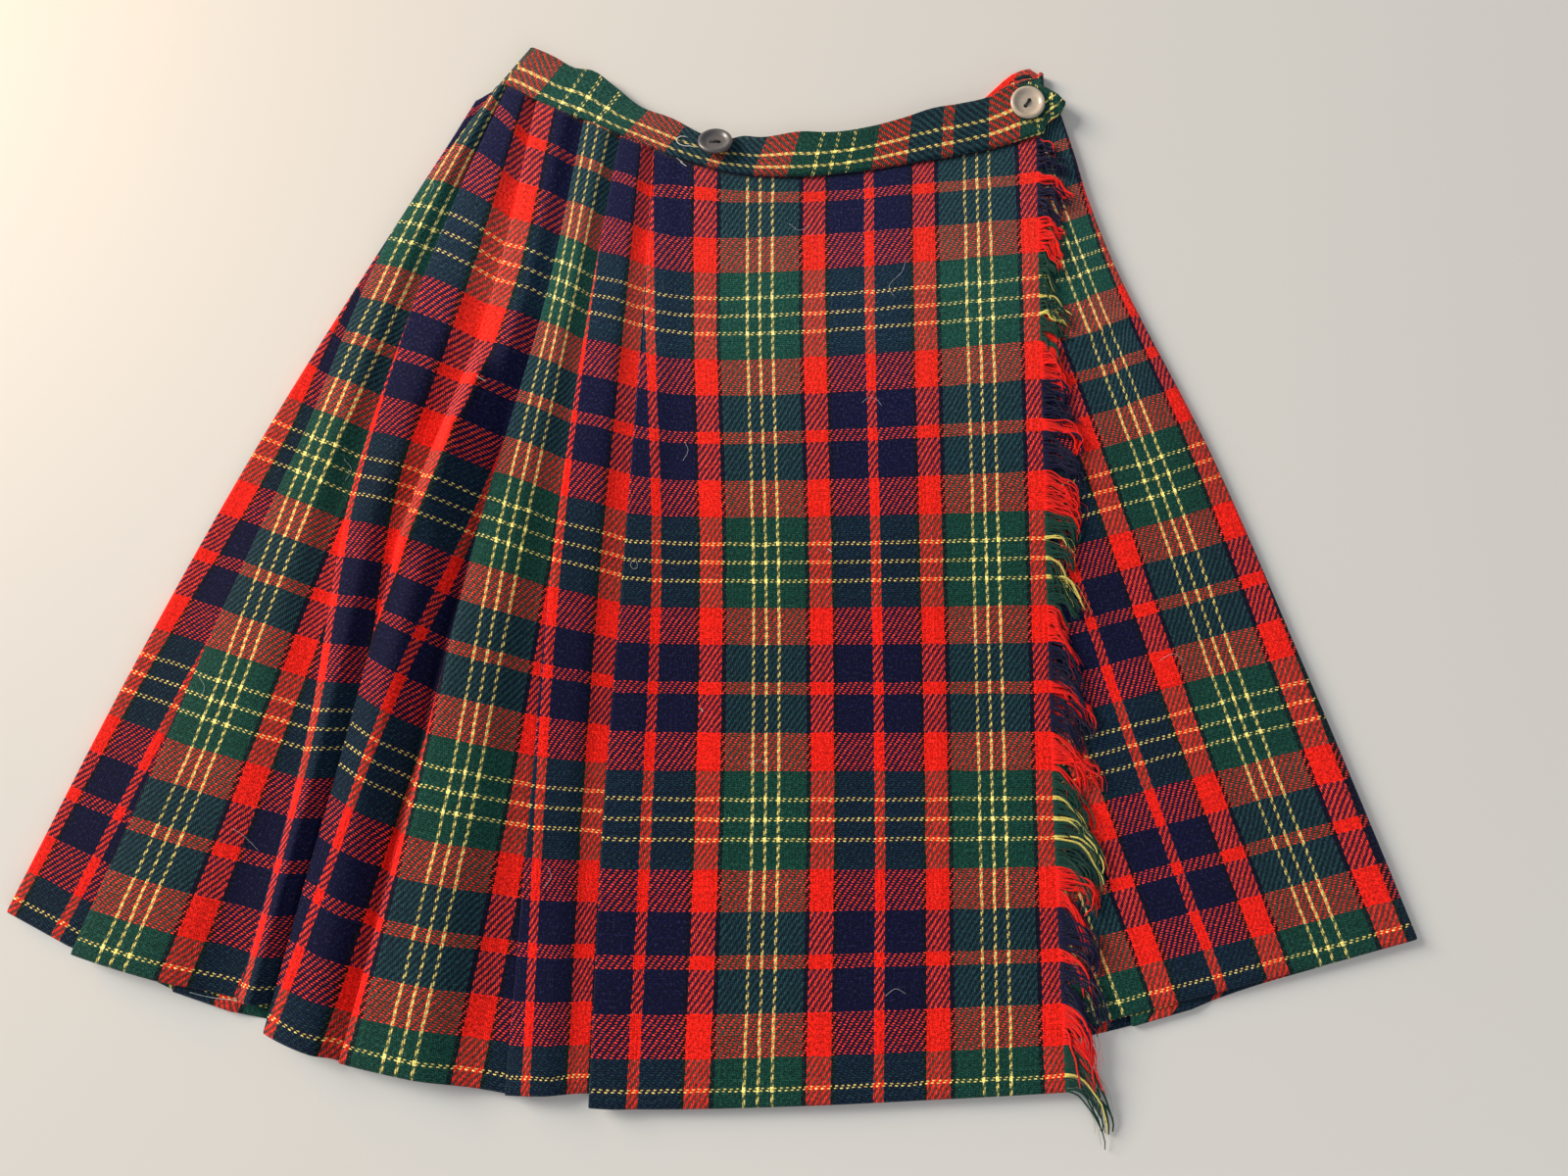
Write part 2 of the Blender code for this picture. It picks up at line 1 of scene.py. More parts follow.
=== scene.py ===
# %% [markdown]
# # A pleated tartan skirt, laid flat
#
# The skirt is one long length of woollen twill. It is folded into knife pleats, sewn to a waistband
# and wrapped round, so that its flat front apron, with a frayed edge, ends up on top of everything
# else. Three things make it look like cloth: where the folds lie, how the tartan runs over them,
# and the weave that shows from close by. Each of them is worked out here from a few sizes.
#
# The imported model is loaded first. It gives the place and the size of each plain solid, and the
# finer pieces made here take their places.

# %% Load the frame
import math

import bpy
import numpy as np
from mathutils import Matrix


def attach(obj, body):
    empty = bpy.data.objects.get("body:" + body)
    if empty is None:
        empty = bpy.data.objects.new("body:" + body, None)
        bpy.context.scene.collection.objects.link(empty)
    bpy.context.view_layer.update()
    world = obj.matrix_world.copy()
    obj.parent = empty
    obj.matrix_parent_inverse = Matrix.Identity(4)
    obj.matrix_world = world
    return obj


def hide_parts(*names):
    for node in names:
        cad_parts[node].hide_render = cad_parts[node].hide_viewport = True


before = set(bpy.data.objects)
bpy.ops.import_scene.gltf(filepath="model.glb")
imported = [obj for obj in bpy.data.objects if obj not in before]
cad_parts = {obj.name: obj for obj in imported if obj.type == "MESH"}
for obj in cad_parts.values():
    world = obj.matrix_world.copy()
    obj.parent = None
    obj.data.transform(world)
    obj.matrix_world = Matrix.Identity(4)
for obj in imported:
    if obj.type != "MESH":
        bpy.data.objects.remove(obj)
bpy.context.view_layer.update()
MM = 0.001
chance = np.random.default_rng(20)
print("solids in the frame:", sorted(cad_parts))

# %% [markdown]
# ## Sizes of the cloth
#
# Wool of this weight is a little over a millimetre thick. The layers of the skirt lie on each other
# in six levels, three for the back with its pleats and three for the front with its own. The levels
# and the fold lines are those of the solids, so that the fine cloth fills the same space.

# %% Levels of the layers
CLOTH = 1.2 * MM
LAYER = 1.5 * MM
TURN = LAYER / 2
BACK_OUTER = CLOTH / 2
BACK_INNER = BACK_OUTER + 2 * LAYER
FRONT_LOW = BACK_INNER + LAYER
FRONT_MID = FRONT_LOW + LAYER
FRONT_HIGH = FRONT_MID + LAYER
SIDE_ROLL = (FRONT_LOW - BACK_OUTER) / 2
BAND_CLOTH = 2.7 * MM
SKIRT_LENGTH = 573 * MM
CENTRE = np.array([-1.0 * MM, -0.4 * MM])
print(f"the front lies {1000 * (FRONT_HIGH + CLOTH / 2):.1f} mm above the table")

# %% [markdown]
# ## Fold lines
#
# Each pleat's edge is a smooth curve from the waist to the hem. Its row in the table gives the
# place, in millimetres, where it meets the waist seam, the three green bands of the tartan and the
# hem. A cubic through those five places gives every point between them.

# %% The table of folds
# How far down the seam, the three green bands and the hem are, as shares of the skirt's length
STATIONS = (0.0, 0.18, 0.455, 0.725, 1.0)
FOLDS = {
    "left_side": ((-154, 291), (-197, 216), (-275, 75), (-344, -66), (-405, -204)),
    "pleat_1": ((-140, 300), (-197, 211), (-252, 66), (-308, -78), (-364, -227)),
    "pleat_2": ((-133, 301), (-170, 205), (-214, 50), (-233, -100), (-268, -252)),
    "pleat_3": ((-114, 292), (-133, 185), (-178, 39), (-211, -108), (-252, -270)),
    "pleat_4": ((-84, 280), (-102, 175), (-139, 26), (-171, -131), (-209, -286)),
    "pleat_5": ((-61, 270), (-77, 164), (-95, 11), (-105, -144), (-115, -303)),
    "pleat_6": ((-40, 259), (-45, 156), (-54, 0), (-63, -151), (-68, -310)),
    "apron_middle": ((26, 242), (26, 151), (30, -2), (30, -152), (26, -310)),
    "apron_edge": ((199, 268), (198, 164), (197, 1), (197, -151), (199, -302)),
    "under_end": ((66, 244), (76, 148), (86, 2), (88, -150), (84, -298)),
    "right_middle": ((194, 268), (220, 188), (265, 50), (308, -93), (354, -232)),
    "right_side": ((215, 278), (241, 195), (300, 62), (354, -82), (403, -219)),
}
# The rows of every grid of cloth, from the seam to the hem, where they lie closer together
DOWN = np.concatenate([np.linspace(0, 0.994, 150), [0.9965, 0.9985, 1.0]])
print(f"{len(FOLDS)} fold lines, {len(DOWN)} rows")


# %% The curve through a table, and a fold's line
def smooth_curve(table, at):
    """A cubic between neighbouring rows of the table, sloped at each row as its neighbours lie.

    The first column is the station. The result has a row for each place in at."""
    rows = np.asarray(table, float)
    station, value = rows[:, 0], rows[:, 1:]
    slope = np.gradient(value, station, axis=0)
    at = np.atleast_1d(np.asarray(at, float))
    k = np.clip(np.searchsorted(station, at) - 1, 0, len(station) - 2)
    step = (station[k + 1] - station[k])[:, None]
    s = (at - station[k])[:, None] / step
    return (
        (2 * s**3 - 3 * s**2 + 1) * value[k]
        + (s**3 - 2 * s**2 + s) * step * slope[k]
        + (3 * s**2 - 2 * s**3) * value[k + 1]
        + (s**3 - s**2) * step * slope[k + 1]
    )


def at_stations(values):
    """Five values, at the seam, the green bands and the hem, spread smoothly over the rows."""
    return smooth_curve(list(zip(STATIONS, values)), DOWN)[:, 0]


def fold_line(name, down=DOWN):
    """The (x, y) of a fold, in metres, at shares of the way down from the seam to the hem."""
    rows = [(share, *point) for share, point in zip(STATIONS, FOLDS[name])]
    return smooth_curve(rows, down) * MM


def smooth_step(share):
    """Three times the square less twice the cube of the share, which is held between 0 and 1."""
    share = np.clip(share, 0, 1)
    return share * share * (3 - 2 * share)


hem = fold_line("apron_edge")[-1] - fold_line("pleat_6")[-1]
print(f"the apron is {math.hypot(*hem):.3f} m wide at its hem")

# %% [markdown]
# ## Where the tartan lies on the folds
#
# A tartan repeats: here every 132 mm across the cloth and every 155 mm down it. Each point of the
# cloth has two numbers, how many repeats across and how many down. They become its UV map, so the
# pattern follows the cloth into each fold, as threads do. The tables say which part of the repeat
# lies at each edge of a panel. Zero is the middle of the broad green stripe.

# %% The repeat at each panel's two edges, and down each fold
REPEAT_ACROSS = 132 * MM
REPEAT_DOWN = 155 * MM
# For each panel, the repeat across at its left and at its right edge, at the five stations
PANEL_EDGES = {
    "left_side": ((0.38, 0.36, 0.215, 0.24, 0.27), (0.42, 0.44, 0.38, 0.52, 0.60)),
    "pleat_1": ((-0.02, -0.11, -0.10, -0.18, -0.17), (0.09, 0.11, 0.18, 0.40, 0.50)),
    "pleat_2": ((0.54, 0.54, 0.50, 0.48, 0.47), (0.80, 0.80, 0.79, 0.67, 0.65)),
    "pleat_3": ((0.22, 0.22, 0.24, 0.36, 0.48), (0.44, 0.43, 0.53, 0.74, 0.78)),
    "pleat_4": ((-0.08, -0.10, -0.15, -0.21, -0.22), (0.13, 0.16, 0.20, 0.29, 0.40)),
    "pleat_5": ((0.55, 0.52, 0.49, 0.46, 0.40), (0.80, 0.80, 0.81, 0.81, 0.82)),
    "pleat_6": ((-0.47, -0.53, -0.65, -0.666, -0.656), (1.285, 1.275, 1.272, 1.275, 1.29)),
    "right_middle": ((0.0, 0.0, 0.0, 0.0, 0.0), (0.17, 0.21, 0.27, 0.31, 0.33)),
}
# The repeat down where each fold meets the waist seam
SEAM_REPEAT = {
    "left_side": -0.56,
    "pleat_1": -0.56,
    "pleat_2": -0.60,
    "pleat_3": -0.67,
    "pleat_4": -0.68,
    "pleat_5": -0.68,
    "pleat_6": -0.68,
    "apron_middle": -0.59,
    "apron_edge": -0.68,
    "under_end": -0.60,
    "right_middle": -0.54,
    "right_side": -0.64,
}
HEM_REPEAT = 2.985


def repeats_down(name):
    """How many repeats down each row of a fold lies, with 0, 1 and 2 at the three green bands."""
    return at_stations((SEAM_REPEAT[name], 0, 1, 2, HEM_REPEAT))


def repeats_across(panel, side):
    """The repeat at a panel's left (0) or right (1) edge, row by row."""
    return at_stations(PANEL_EDGES[panel][side])


apron_left, apron_right = (edge[-1] for edge in PANEL_EDGES["pleat_6"])
print(f"the apron is {apron_right - apron_left:.2f} repeats wide there")

# %% [markdown]
# ## The waist seam and the lie of the cloth
#
# The loose pleats stand up in a soft dome over the left of the front, with one deep fold across it.
# Small ridges and troughs were placed on top of that, each from one point to another with
# its own width and height, because real cloth is never quite even. The same height is added to
# every layer at a place, so the layers never pass through each other.

# %% Waistband edges
BAND_LOWER = (
    (-154, 292), (-135, 301), (-120, 294), (-106, 287), (-82, 277), (-57, 266), (-26, 253),
    (4, 244), (29, 241), (77, 243), (128, 251), (173, 260), (205, 270),
)
BAND_UPPER = (
    (-120, 328), (-104, 321), (-92, 314), (-79, 312), (-67, 303), (-50, 289), (-30, 281), (-7, 269),
    (7, 267), (16, 269), (25, 268), (53, 271), (68, 270), (96, 274), (117, 280), (134, 286),
    (151, 289), (168, 293), (188, 302), (204, 301),
)


def seam_height(x):
    """The y of the waist seam at x: the smooth curve through the band's lower edge."""
    return smooth_curve(BAND_LOWER, np.asarray(x) / MM)[:, 0] * MM


print(f"the waist seam is at y = {seam_height(0)[0]:.3f} m in the middle")

# %% The swell, its trough and the creases
SWELL_HEIGHT = 9.5 * MM
SWELL_CENTRE = (-188, -80)
SWELL_REACH = (120, 215)
TROUGH_TOP = (-123, 130)
TROUGH_FOOT = (-174, -110)
TROUGH_DEPTH = 0.9
TROUGH_LEFT_WIDTH = 12
TROUGH_RIGHT_WIDTH = 7

# From (x, y), to (x, y), width and height, all in mm. Each fades out over a third of its length
# round its two ends.
CREASE_FADE = 1 / 3
CREASES = (
    (-119, 160, -132, 108, 9, 1.6),
    (-128, 104, -137, 52, 7, -2.2),
    (-137, 52, -150, -34, 9, -1.6),
    (-140, 122, -157, 74, 7, 5.6),
    (-152, 82, -184, 2, 8, 5.4),
    (-141, 145, -165, 78, 3.5, -1.5),
    (-163, 84, -190, 0, 3.5, -1.6),
    (-176, 72, -212, 18, 9, 1.0),
    (-146, 66, -162, -30, 6, -1.2),
    (-156, 60, -204, -150, 8, 1.9),
    (-150, 92, -166, 40, 8, 1.4),
    (-158, 130, -176, 80, 10, -1.0),
    (-206, 150, -232, 60, 13, 0.9),
    (-236, 100, -262, 10, 11, -0.8),
    (-286, -20, -330, -150, 16, 1.1),
    (-256, -60, -300, -200, 12, -1.0),
    (-228, -150, -244, -262, 10, 1.3),
    (-196, -170, -214, -280, 9, -1.1),
    (-150, -160, -166, -292, 14, 1.2),
    (-96, 60, -98, -80, 12, 0.7),
    (-84, -60, -90, -296, 11, -0.8),
    (-20, 238, -22, 120, 12, 0.6),
    (2, 60, 8, -120, 26, 0.5),
    (64, 240, 60, 150, 10, -0.5),
    (110, 250, 116, 130, 14, 0.6),
    (150, 30, 156, -160, 22, -0.5),
    (60, -180, 66, -310, 24, 0.6),
    (120, -200, 124, -306, 16, -0.5),
    (219, 136, 254, 152, 3.5, 1.3),
    (224, 128, 250, 141, 4, -0.9),
    (232, 120, 262, 60, 10, -0.8),
    (252, 120, 300, -20, 12, 0.9),
    (250, -60, 300, -210, 18, 1.0),
    (300, -40, 372, -200, 12, -0.9),
    (338, -60, 392, -196, 10, 0.8),
)
print(f"{len(CREASES)} creases")


# %% The lie of the cloth
def lie(place):
    """The height added to the front at each (x, y).

    The dome is one less the squares of the shares of its reach, to the power of one and a half, and
    a trough with a bell-shaped section takes most of it away along a line. Each crease adds a
    bell-shaped section of its own, which fades out at its two ends."""
    x, y = place[..., 0] / MM, place[..., 1] / MM
    across = (x - SWELL_CENTRE[0]) / SWELL_REACH[0]
    down = (y - SWELL_CENTRE[1]) / SWELL_REACH[1]
    dome = np.clip(1 - across**2 - down**2, 0, 1) ** 1.5
    lean = (TROUGH_FOOT[0] - TROUGH_TOP[0]) / (TROUGH_FOOT[1] - TROUGH_TOP[1])
    aside = x - TROUGH_TOP[0] - lean * (y - TROUGH_TOP[1])
    aside = aside / np.where(aside < 0, TROUGH_LEFT_WIDTH, TROUGH_RIGHT_WIDTH)
    height = SWELL_HEIGHT * dome * (1 - TROUGH_DEPTH * np.exp(-(aside**2)))
    for x0, y0, x1, y1, width, rise in CREASES:
        length = math.hypot(x1 - x0, y1 - y0)
        along = ((x - x0) * (x1 - x0) + (y - y0) * (y1 - y0)) / length**2
        aside = ((x - x0) * (y1 - y0) - (y - y0) * (x1 - x0)) / length
        fade = smooth_step(np.minimum(along, 1 - along) / CREASE_FADE + 0.5)
        height = height + rise * MM * np.exp(-((aside / width) ** 2)) * fade
    return height


swell = 1000 * lie(np.array(SWELL_CENTRE) * MM)
print(f"the swell is {swell:.1f} mm high at its middle")

# %% [markdown]
# ## A length of cloth
#
# One length of cloth is a grid. A column runs from the waist to the hem, and the columns follow the
# cloth across the skirt: over the top of a pleat, round its edge, back beneath it, and on to the
# next. Subdividing a plain sheet and moving its points by hand would also work, but the columns
# keep each fold as round as the wool allows. Each point carries its place and its two pattern
# numbers.

# %% Columns and turns
# The share of the length that is drawn up to the seam, where the hem's dent starts and how deep it
# is, and the part of a repeat that half a turn round an edge takes
SEAM_SHARE = 0.06
HEM_START = 0.9955
HEM_DENT = 0.45 * MM
TURN_THREADS = -0.02


def unit(vectors):
    """The vectors, each divided by its own length."""
    return vectors / np.maximum(np.linalg.norm(vectors, axis=-1, keepdims=True), 1e-12)


class Cloth:
    """A length of cloth, gathered column by column: x, y, z and the repeats across and down."""

    def __init__(self):
        self.columns = []

    def add(self, place, height, across, down, lies=True):
        """One column. Near its top it is drawn up to the waist seam, and lies adds the swell."""
        place = np.array(place)
        lift = seam_height(place[:1, 0])[0] - place[0, 1]
        place[:, 1] += lift * np.clip(1 - DOWN / SEAM_SHARE, 0, 1)
        level = np.broadcast_to(height, len(place)).astype(float)
        if lies:
            level = level + lie(place)
        level = level - HEM_DENT * np.clip((DOWN - HEM_START) / (1 - HEM_START), 0, 1) ** 2
        across = np.broadcast_to(across, len(place))
        self.columns.append(np.column_stack([place, level, across, down]))

    def turn(self, place, across, side, upper, thread, down):
        """Half a circle down to the level below, its round side to the left (-1) or right (1)."""
        for angle in np.linspace(90, -90, 7):
            out = side * TURN * (math.cos(math.radians(angle)) - 1)
            height = upper - LAYER / 2 * (1 - math.sin(math.radians(angle)))
            taken = TURN_THREADS * (90 - angle) / 180
            self.add(place + across * out, height, thread + taken, down)

    def grid(self):
        """The columns side by side: rows by columns by five numbers."""
        return np.stack(self.columns, axis=1)


print(f"the hem is dented by {1000 * HEM_DENT:.2f} mm")


# %% Objects, their pattern numbers, and the mesh of a cloth grid
def new_object(name, points, faces, material=None):
    """An object with a mesh of the points and faces."""
    mesh = bpy.data.meshes.new(name)
    mesh.from_pydata(np.asarray(points).tolist(), [], faces)
    if material:
        mesh.materials.append(material)
    made = bpy.data.objects.new(name, mesh)
    bpy.context.collection.objects.link(made)
    return made


def keep_numbers(mesh, numbers):
    """Writes the two pattern numbers of each point into the mesh's UV map."""
    corners = np.zeros(len(mesh.loops), dtype=np.int32)
    mesh.loops.foreach_get("vertex_index", corners)
    layer = mesh.uv_layers.new(name="cloth")
    layer.data.foreach_set("uv", numbers[corners].astype(np.float32).ravel())


def cloth_mesh(name, grid, material):
    """A mesh of the grid with a wall of the cloth's thickness, and its pattern as its UV map."""
    rows, columns = grid.shape[:2]
    points = grid[..., :3].reshape(-1, 3) - [*CENTRE, 0]
    index = np.arange(rows * columns).reshape(rows, columns)
    corners = (index[:-1, :-1], index[:-1, 1:], index[1:, 1:], index[1:, :-1])
    piece = new_object(name, points, np.stack(corners, axis=-1).reshape(-1, 4).tolist(), material)
    keep_numbers(piece.data, grid[..., 3:].reshape(-1, 2))
    piece.data.shade_smooth()
    wall = piece.modifiers.new("wall", "SOLIDIFY")
    wall.thickness = CLOTH
    wall.offset = 0
    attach(piece, "root")
    area = sum(face.area for face in piece.data.polygons)
    print(f"{name}: {rows} rows of {columns} points, {area:.3f} square metres of cloth")
    return piece


# %% [markdown]
# ## Helpers for materials
#
# A material here is a tree of small sums. These helpers add a node and join its inputs in one line,
# so that the recipe reads in the order in which it works.

# %% Node helpers
def join(tree, value, socket):
    """Feeds a socket from another node's output, or gives it a plain value."""
    if isinstance(value, bpy.types.NodeSocket):
        tree.links.new(value, socket)
    else:
        socket.default_value = value


def calc(tree, operation, *values):
    """A Math node of the operation on one to three values; gives back its output."""
    node = tree.nodes.new("ShaderNodeMath")
    node.operation = operation
    for value, socket in zip(values, node.inputs):
        join(tree, value, socket)
    return node.outputs[0]


def scaled(tree, value, slope, offset):
    """The value times the slope, plus the offset."""
    return calc(tree, "MULTIPLY_ADD", value, slope, offset)


def mix(tree, share, first, second, kind="MIX"):
    """A Mix node of two colours; gives back its output."""
    node = tree.nodes.new("ShaderNodeMix")
    node.data_type = "RGBA"
    node.blend_type = kind
    join(tree, share, node.inputs["Factor"])
    join(tree, first, node.inputs[6])
    join(tree, second, node.inputs[7])
    return node.outputs[2]


def stripes(tree, share, bands):
    """A colour ramp of hard-edged bands, each given as where it starts and its colour."""
    node = tree.nodes.new("ShaderNodeValToRGB")
    node.color_ramp.interpolation = "CONSTANT"
    elements = node.color_ramp.elements
    elements.remove(elements[1])
    for number, (start, colour) in enumerate(bands):
        element = elements[0] if number == 0 else elements.new(start)
        element.position = start
        element.color = (*colour, 1)
    join(tree, share, node.inputs[0])
    return node.outputs[0]


def noise(tree, vector, scale, detail=2.0, roughness=0.5):
    """A Noise texture; gives back its value, about a half."""
    node = tree.nodes.new("ShaderNodeTexNoise")
    node.inputs["Scale"].default_value = scale
    node.inputs["Detail"].default_value = detail
    node.inputs["Roughness"].default_value = roughness
    join(tree, vector, node.inputs["Vector"])
    return node.outputs["Fac"]


def parts(tree, vector):
    """The x, y and z of a vector."""
    node = tree.nodes.new("ShaderNodeSeparateXYZ")
    join(tree, vector, node.inputs[0])
    return node.outputs


def deepened(tree, colour, gamma):
    """The colour to the power gamma, through a Gamma node."""
    node = tree.nodes.new("ShaderNodeGamma")
    join(tree, colour, node.inputs["Color"])
    join(tree, gamma, node.inputs["Gamma"])
    return node.outputs[0]


print("number and colour helpers ready")


# %% Helpers for groups and materials
def new_group(name, inputs, outputs):
    """An empty node group with named inputs and outputs; gives the tree and its two end nodes."""
    tree = bpy.data.node_groups.new(name, "ShaderNodeTree")
    for label, kind, value in inputs:
        socket = tree.interface.new_socket(label, in_out="INPUT", socket_type=kind)
        if value is not None:
            socket.default_value = value
    for label, kind in outputs:
        tree.interface.new_socket(label, in_out="OUTPUT", socket_type=kind)
    return tree, tree.nodes.new("NodeGroupInput"), tree.nodes.new("NodeGroupOutput")


def new_material(name, settings):
    """A material whose Principled BSDF has the settings; gives it, its tree and the shader."""
    material = bpy.data.materials.new(name)
    material.use_nodes = True
    shader = material.node_tree.nodes["Principled BSDF"]
    for label, value in settings.items():
        shader.inputs[label].default_value = value
    return material, material.node_tree, shader


def pattern_numbers(tree):
    """The two pattern numbers that a piece keeps in its UV map."""
    node = tree.nodes.new("ShaderNodeUVMap")
    node.uv_map = "cloth"
    return node.outputs[0]


def bump(tree, shader, height, strength, distance):
    """A Bump node of the height, which feeds the shader's Normal."""
    node = tree.nodes.new("ShaderNodeBump")
    node.inputs["Strength"].default_value = strength
    node.inputs["Distance"].default_value = distance
    join(tree, height, node.inputs["Height"])
    join(tree, node.outputs[0], shader.inputs["Normal"])


print("group and material helpers ready")

# %% [markdown]
# ## The tartan
#
# A tartan is a list of coloured threads, used for the warp, which runs down the cloth, and again
# for the weft, which runs across. In a two-and-two twill each thread passes over two and under two,
# one step further along in each row, so slanting lines appear wherever warp and weft differ. The
# group counts warp ends and weft picks, finds which is on top, and takes the colour of that thread
# from its own list. That gives the solid squares, the hatched squares and the dashed yellow lines
# all by themselves.

# %% The thread lists, in shares of half a repeat from the middle of the green stripe
RED = (0.93, 0.023, 0.011)
NAVY = (0.0062, 0.0095, 0.068)
GREEN = (0.010, 0.094, 0.070)
YELLOW = (0.80, 0.70, 0.22)
DARK = (0.004, 0.005, 0.010)
ENDS = 157
PICKS = 122


def thread_list(count, runs):
    """Turns runs of (threads, colour), from the middle out, into shares of half a repeat."""
    bands, total = [], 0
    for threads, colour in runs:
        bands.append((total * 2 / count, colour))
        total += threads
    return bands


WARP = thread_list(ENDS, (
    (1, YELLOW), (7, GREEN), (2, YELLOW), (18, GREEN), (3, DARK), (16, RED), (3, DARK),
    (25, NAVY), (4, RED),
))
WEFT = thread_list(PICKS, (
    (1, YELLOW), (7, GREEN), (2, YELLOW), (12, GREEN), (18, RED), (18, NAVY), (3, RED),
))
print(f"{ENDS} ends by {PICKS} picks, {len(WARP)} and {len(WEFT)} bands in half a repeat")


# %% The colour and tone of one thread
def thread_colour(tree, count, number, bands):
    """The colour of thread number in a mirrored repeat of count threads."""
    centre = calc(tree, "DIVIDE", calc(tree, "ADD", number, 0.5), count)
    turned = calc(tree, "FRACT", calc(tree, "ADD", centre, 0.5))
    share = calc(tree, "MULTIPLY", calc(tree, "ABSOLUTE", calc(tree, "SUBTRACT", turned, 0.5)), 2)
    return stripes(tree, share, bands)


def toned(tree, colour, number, strength=0.25):
    """A little lighter or darker for each thread, from a white noise of its number."""
    node = tree.nodes.new("ShaderNodeTexWhiteNoise")
    node.noise_dimensions = "1D"
    join(tree, number, node.inputs["W"])
    tone = scaled(tree, node.outputs["Value"], strength, 1 - strength / 2)
    return mix(tree, 1.0, colour, tone, "MULTIPLY")


def brightness(tree, colour):
    """The grey value of a colour."""
    grey = tree.nodes.new("ShaderNodeRGBToBW")
    join(tree, colour, grey.inputs[0])
    return grey.outputs[0]


# %% [markdown]
# In the weave, a thread's float is a low arch: full at its middle, falling to its sides and its
# ends. The threads wander a little from their straight rows, or the cloth would look printed.

# %% The weave: which thread is on top, and how high it stands
WANDER = 1.6
JITTER = 0.9
WARP_FLOAT, WARP_MIDDLE, WARP_ARCH = 2.45, 1, 3
WEFT_FLOAT, WEFT_MIDDLE, WEFT_ARCH = 2.1, 3, 4
WEFT_WIDTH = 0.54


def float_share(tree, thread, other, middle, length):
    """How far a place is along a float from its middle: 0 there, 1 at its ends, more beyond."""
    turned = calc(tree, "ADD", calc(tree, "ADD", thread, other), 2 - middle)
    place = calc(tree, "SUBTRACT", calc(tree, "FLOORED_MODULO", turned, 4), 2)
    return calc(tree, "DIVIDE", calc(tree, "ABSOLUTE", place), length / 2)


def arch(tree, up, inside, along, power):
    """The height of a float: one less the square of the share to its side, times one less the
    power of the share to its end, and nothing where it isn't up."""
    side = calc(tree, "POWER", calc(tree, "ABSOLUTE", scaled(tree, inside, 2, -1)), 2.0)
    end = calc(tree, "POWER", calc(tree, "MINIMUM", along, 1), power)
    height = calc(tree, "MULTIPLY", calc(tree, "SUBTRACT", 1, side), calc(tree, "SUBTRACT", 1, end))
    return calc(tree, "MULTIPLY", up, height)


def weave(tree, cloth):
    """The end and pick at a place, where the weft is on top, and the relief of each of the two."""
    across, down, _ = parts(tree, cloth)
    wander = calc(tree, "SUBTRACT", noise(tree, cloth, 9, 3), 0.5)
    jitter = calc(tree, "SUBTRACT", noise(tree, cloth, 110, 2), 0.5)
    waver = scaled(tree, wander, WANDER, calc(tree, "MULTIPLY", jitter, JITTER))
    ends, picks = scaled(tree, across, ENDS, waver), scaled(tree, down, PICKS, waver)
    end, pick = calc(tree, "FLOOR", ends), calc(tree, "FLOOR", picks)
    in_end, in_pick = calc(tree, "FRACT", ends), calc(tree, "FRACT", picks)
    along_warp = float_share(tree, end, picks, WARP_MIDDLE, WARP_FLOAT)
    along_weft = float_share(tree, pick, ends, WEFT_MIDDLE, WEFT_FLOAT)
    warp_up = calc(tree, "LESS_THAN", along_warp, 1)
    from_middle = calc(tree, "ABSOLUTE", calc(tree, "SUBTRACT", in_pick, 0.5))
    within = calc(tree, "LESS_THAN", from_middle, WEFT_WIDTH / 2)
    weft_up = calc(tree, "MULTIPLY", calc(tree, "SUBTRACT", 1, warp_up), within)
    warp_relief = arch(tree, warp_up, in_end, along_warp, WARP_ARCH)
    weft_relief = arch(tree, weft_up, in_pick, along_weft, WEFT_ARCH)
    return end, pick, weft_up, warp_relief, weft_relief


# %% [markdown]
# Wool is hairy, so each thread shows a little of the one beneath it, and the more alike the two
# are, the softer their hatching looks. Shade is painted into the gaps between threads, and the
# nap mottles everything.

# %% The colours of the woven threads, and their painted shade
# Each pair is a slope and an offset, for a plain sum of the threads' brightness or of the nap
LINT_GREY = (0.62, 0.50, 0.44, 1)
SLATE = (0.25, 0.40, 0.75, 1)
SHADED_GREEN = (0.84, 0.78, 1.08, 1)
HAIRS_OVER_DARK, HAIRS_MOST = (0.7, -0.045), 0.10
BLEED, BLEED_LEAST = (-1.7, 0.33), 0.02
# How deep the painted shade in the gaps between threads goes, and how dark it makes them
GAP_SHADE_DEPTH = (-2.6, 0.97)
GAP_SHADE = (-1.15, 1.2)
NAP_SHADE, BROAD_SHADE = (3.6, -0.8), (0.3, 0.85)
NAP_HAZE = (0.5, -0.265)
GREEN_FROM_NAVY, NEARNESS = 0.06, 0.035
SLATE_SHARE = 0.066
DEEPER_DOWN = (0.17, 1)


def between(tree, value, least, most):
    """The value, held between the least and the most."""
    return calc(tree, "MINIMUM", calc(tree, "MAXIMUM", value, least), most)


def hazed(tree, own, own_light, other_light):
    """A thread's colour, hazed by its loose hairs where it lies on a darker one."""
    share = scaled(tree, calc(tree, "SUBTRACT", own_light, other_light), *HAIRS_OVER_DARK)
    return mix(tree, between(tree, share, 0, HAIRS_MOST), own, LINT_GREY)


def near(tree, value, middle):
    """One where the value is the middle, falling evenly to nothing at some distance from it."""
    away = calc(tree, "ABSOLUTE", calc(tree, "SUBTRACT", value, middle))
    return calc(tree, "MAXIMUM", scaled(tree, away, -1 / NEARNESS, 1), 0)


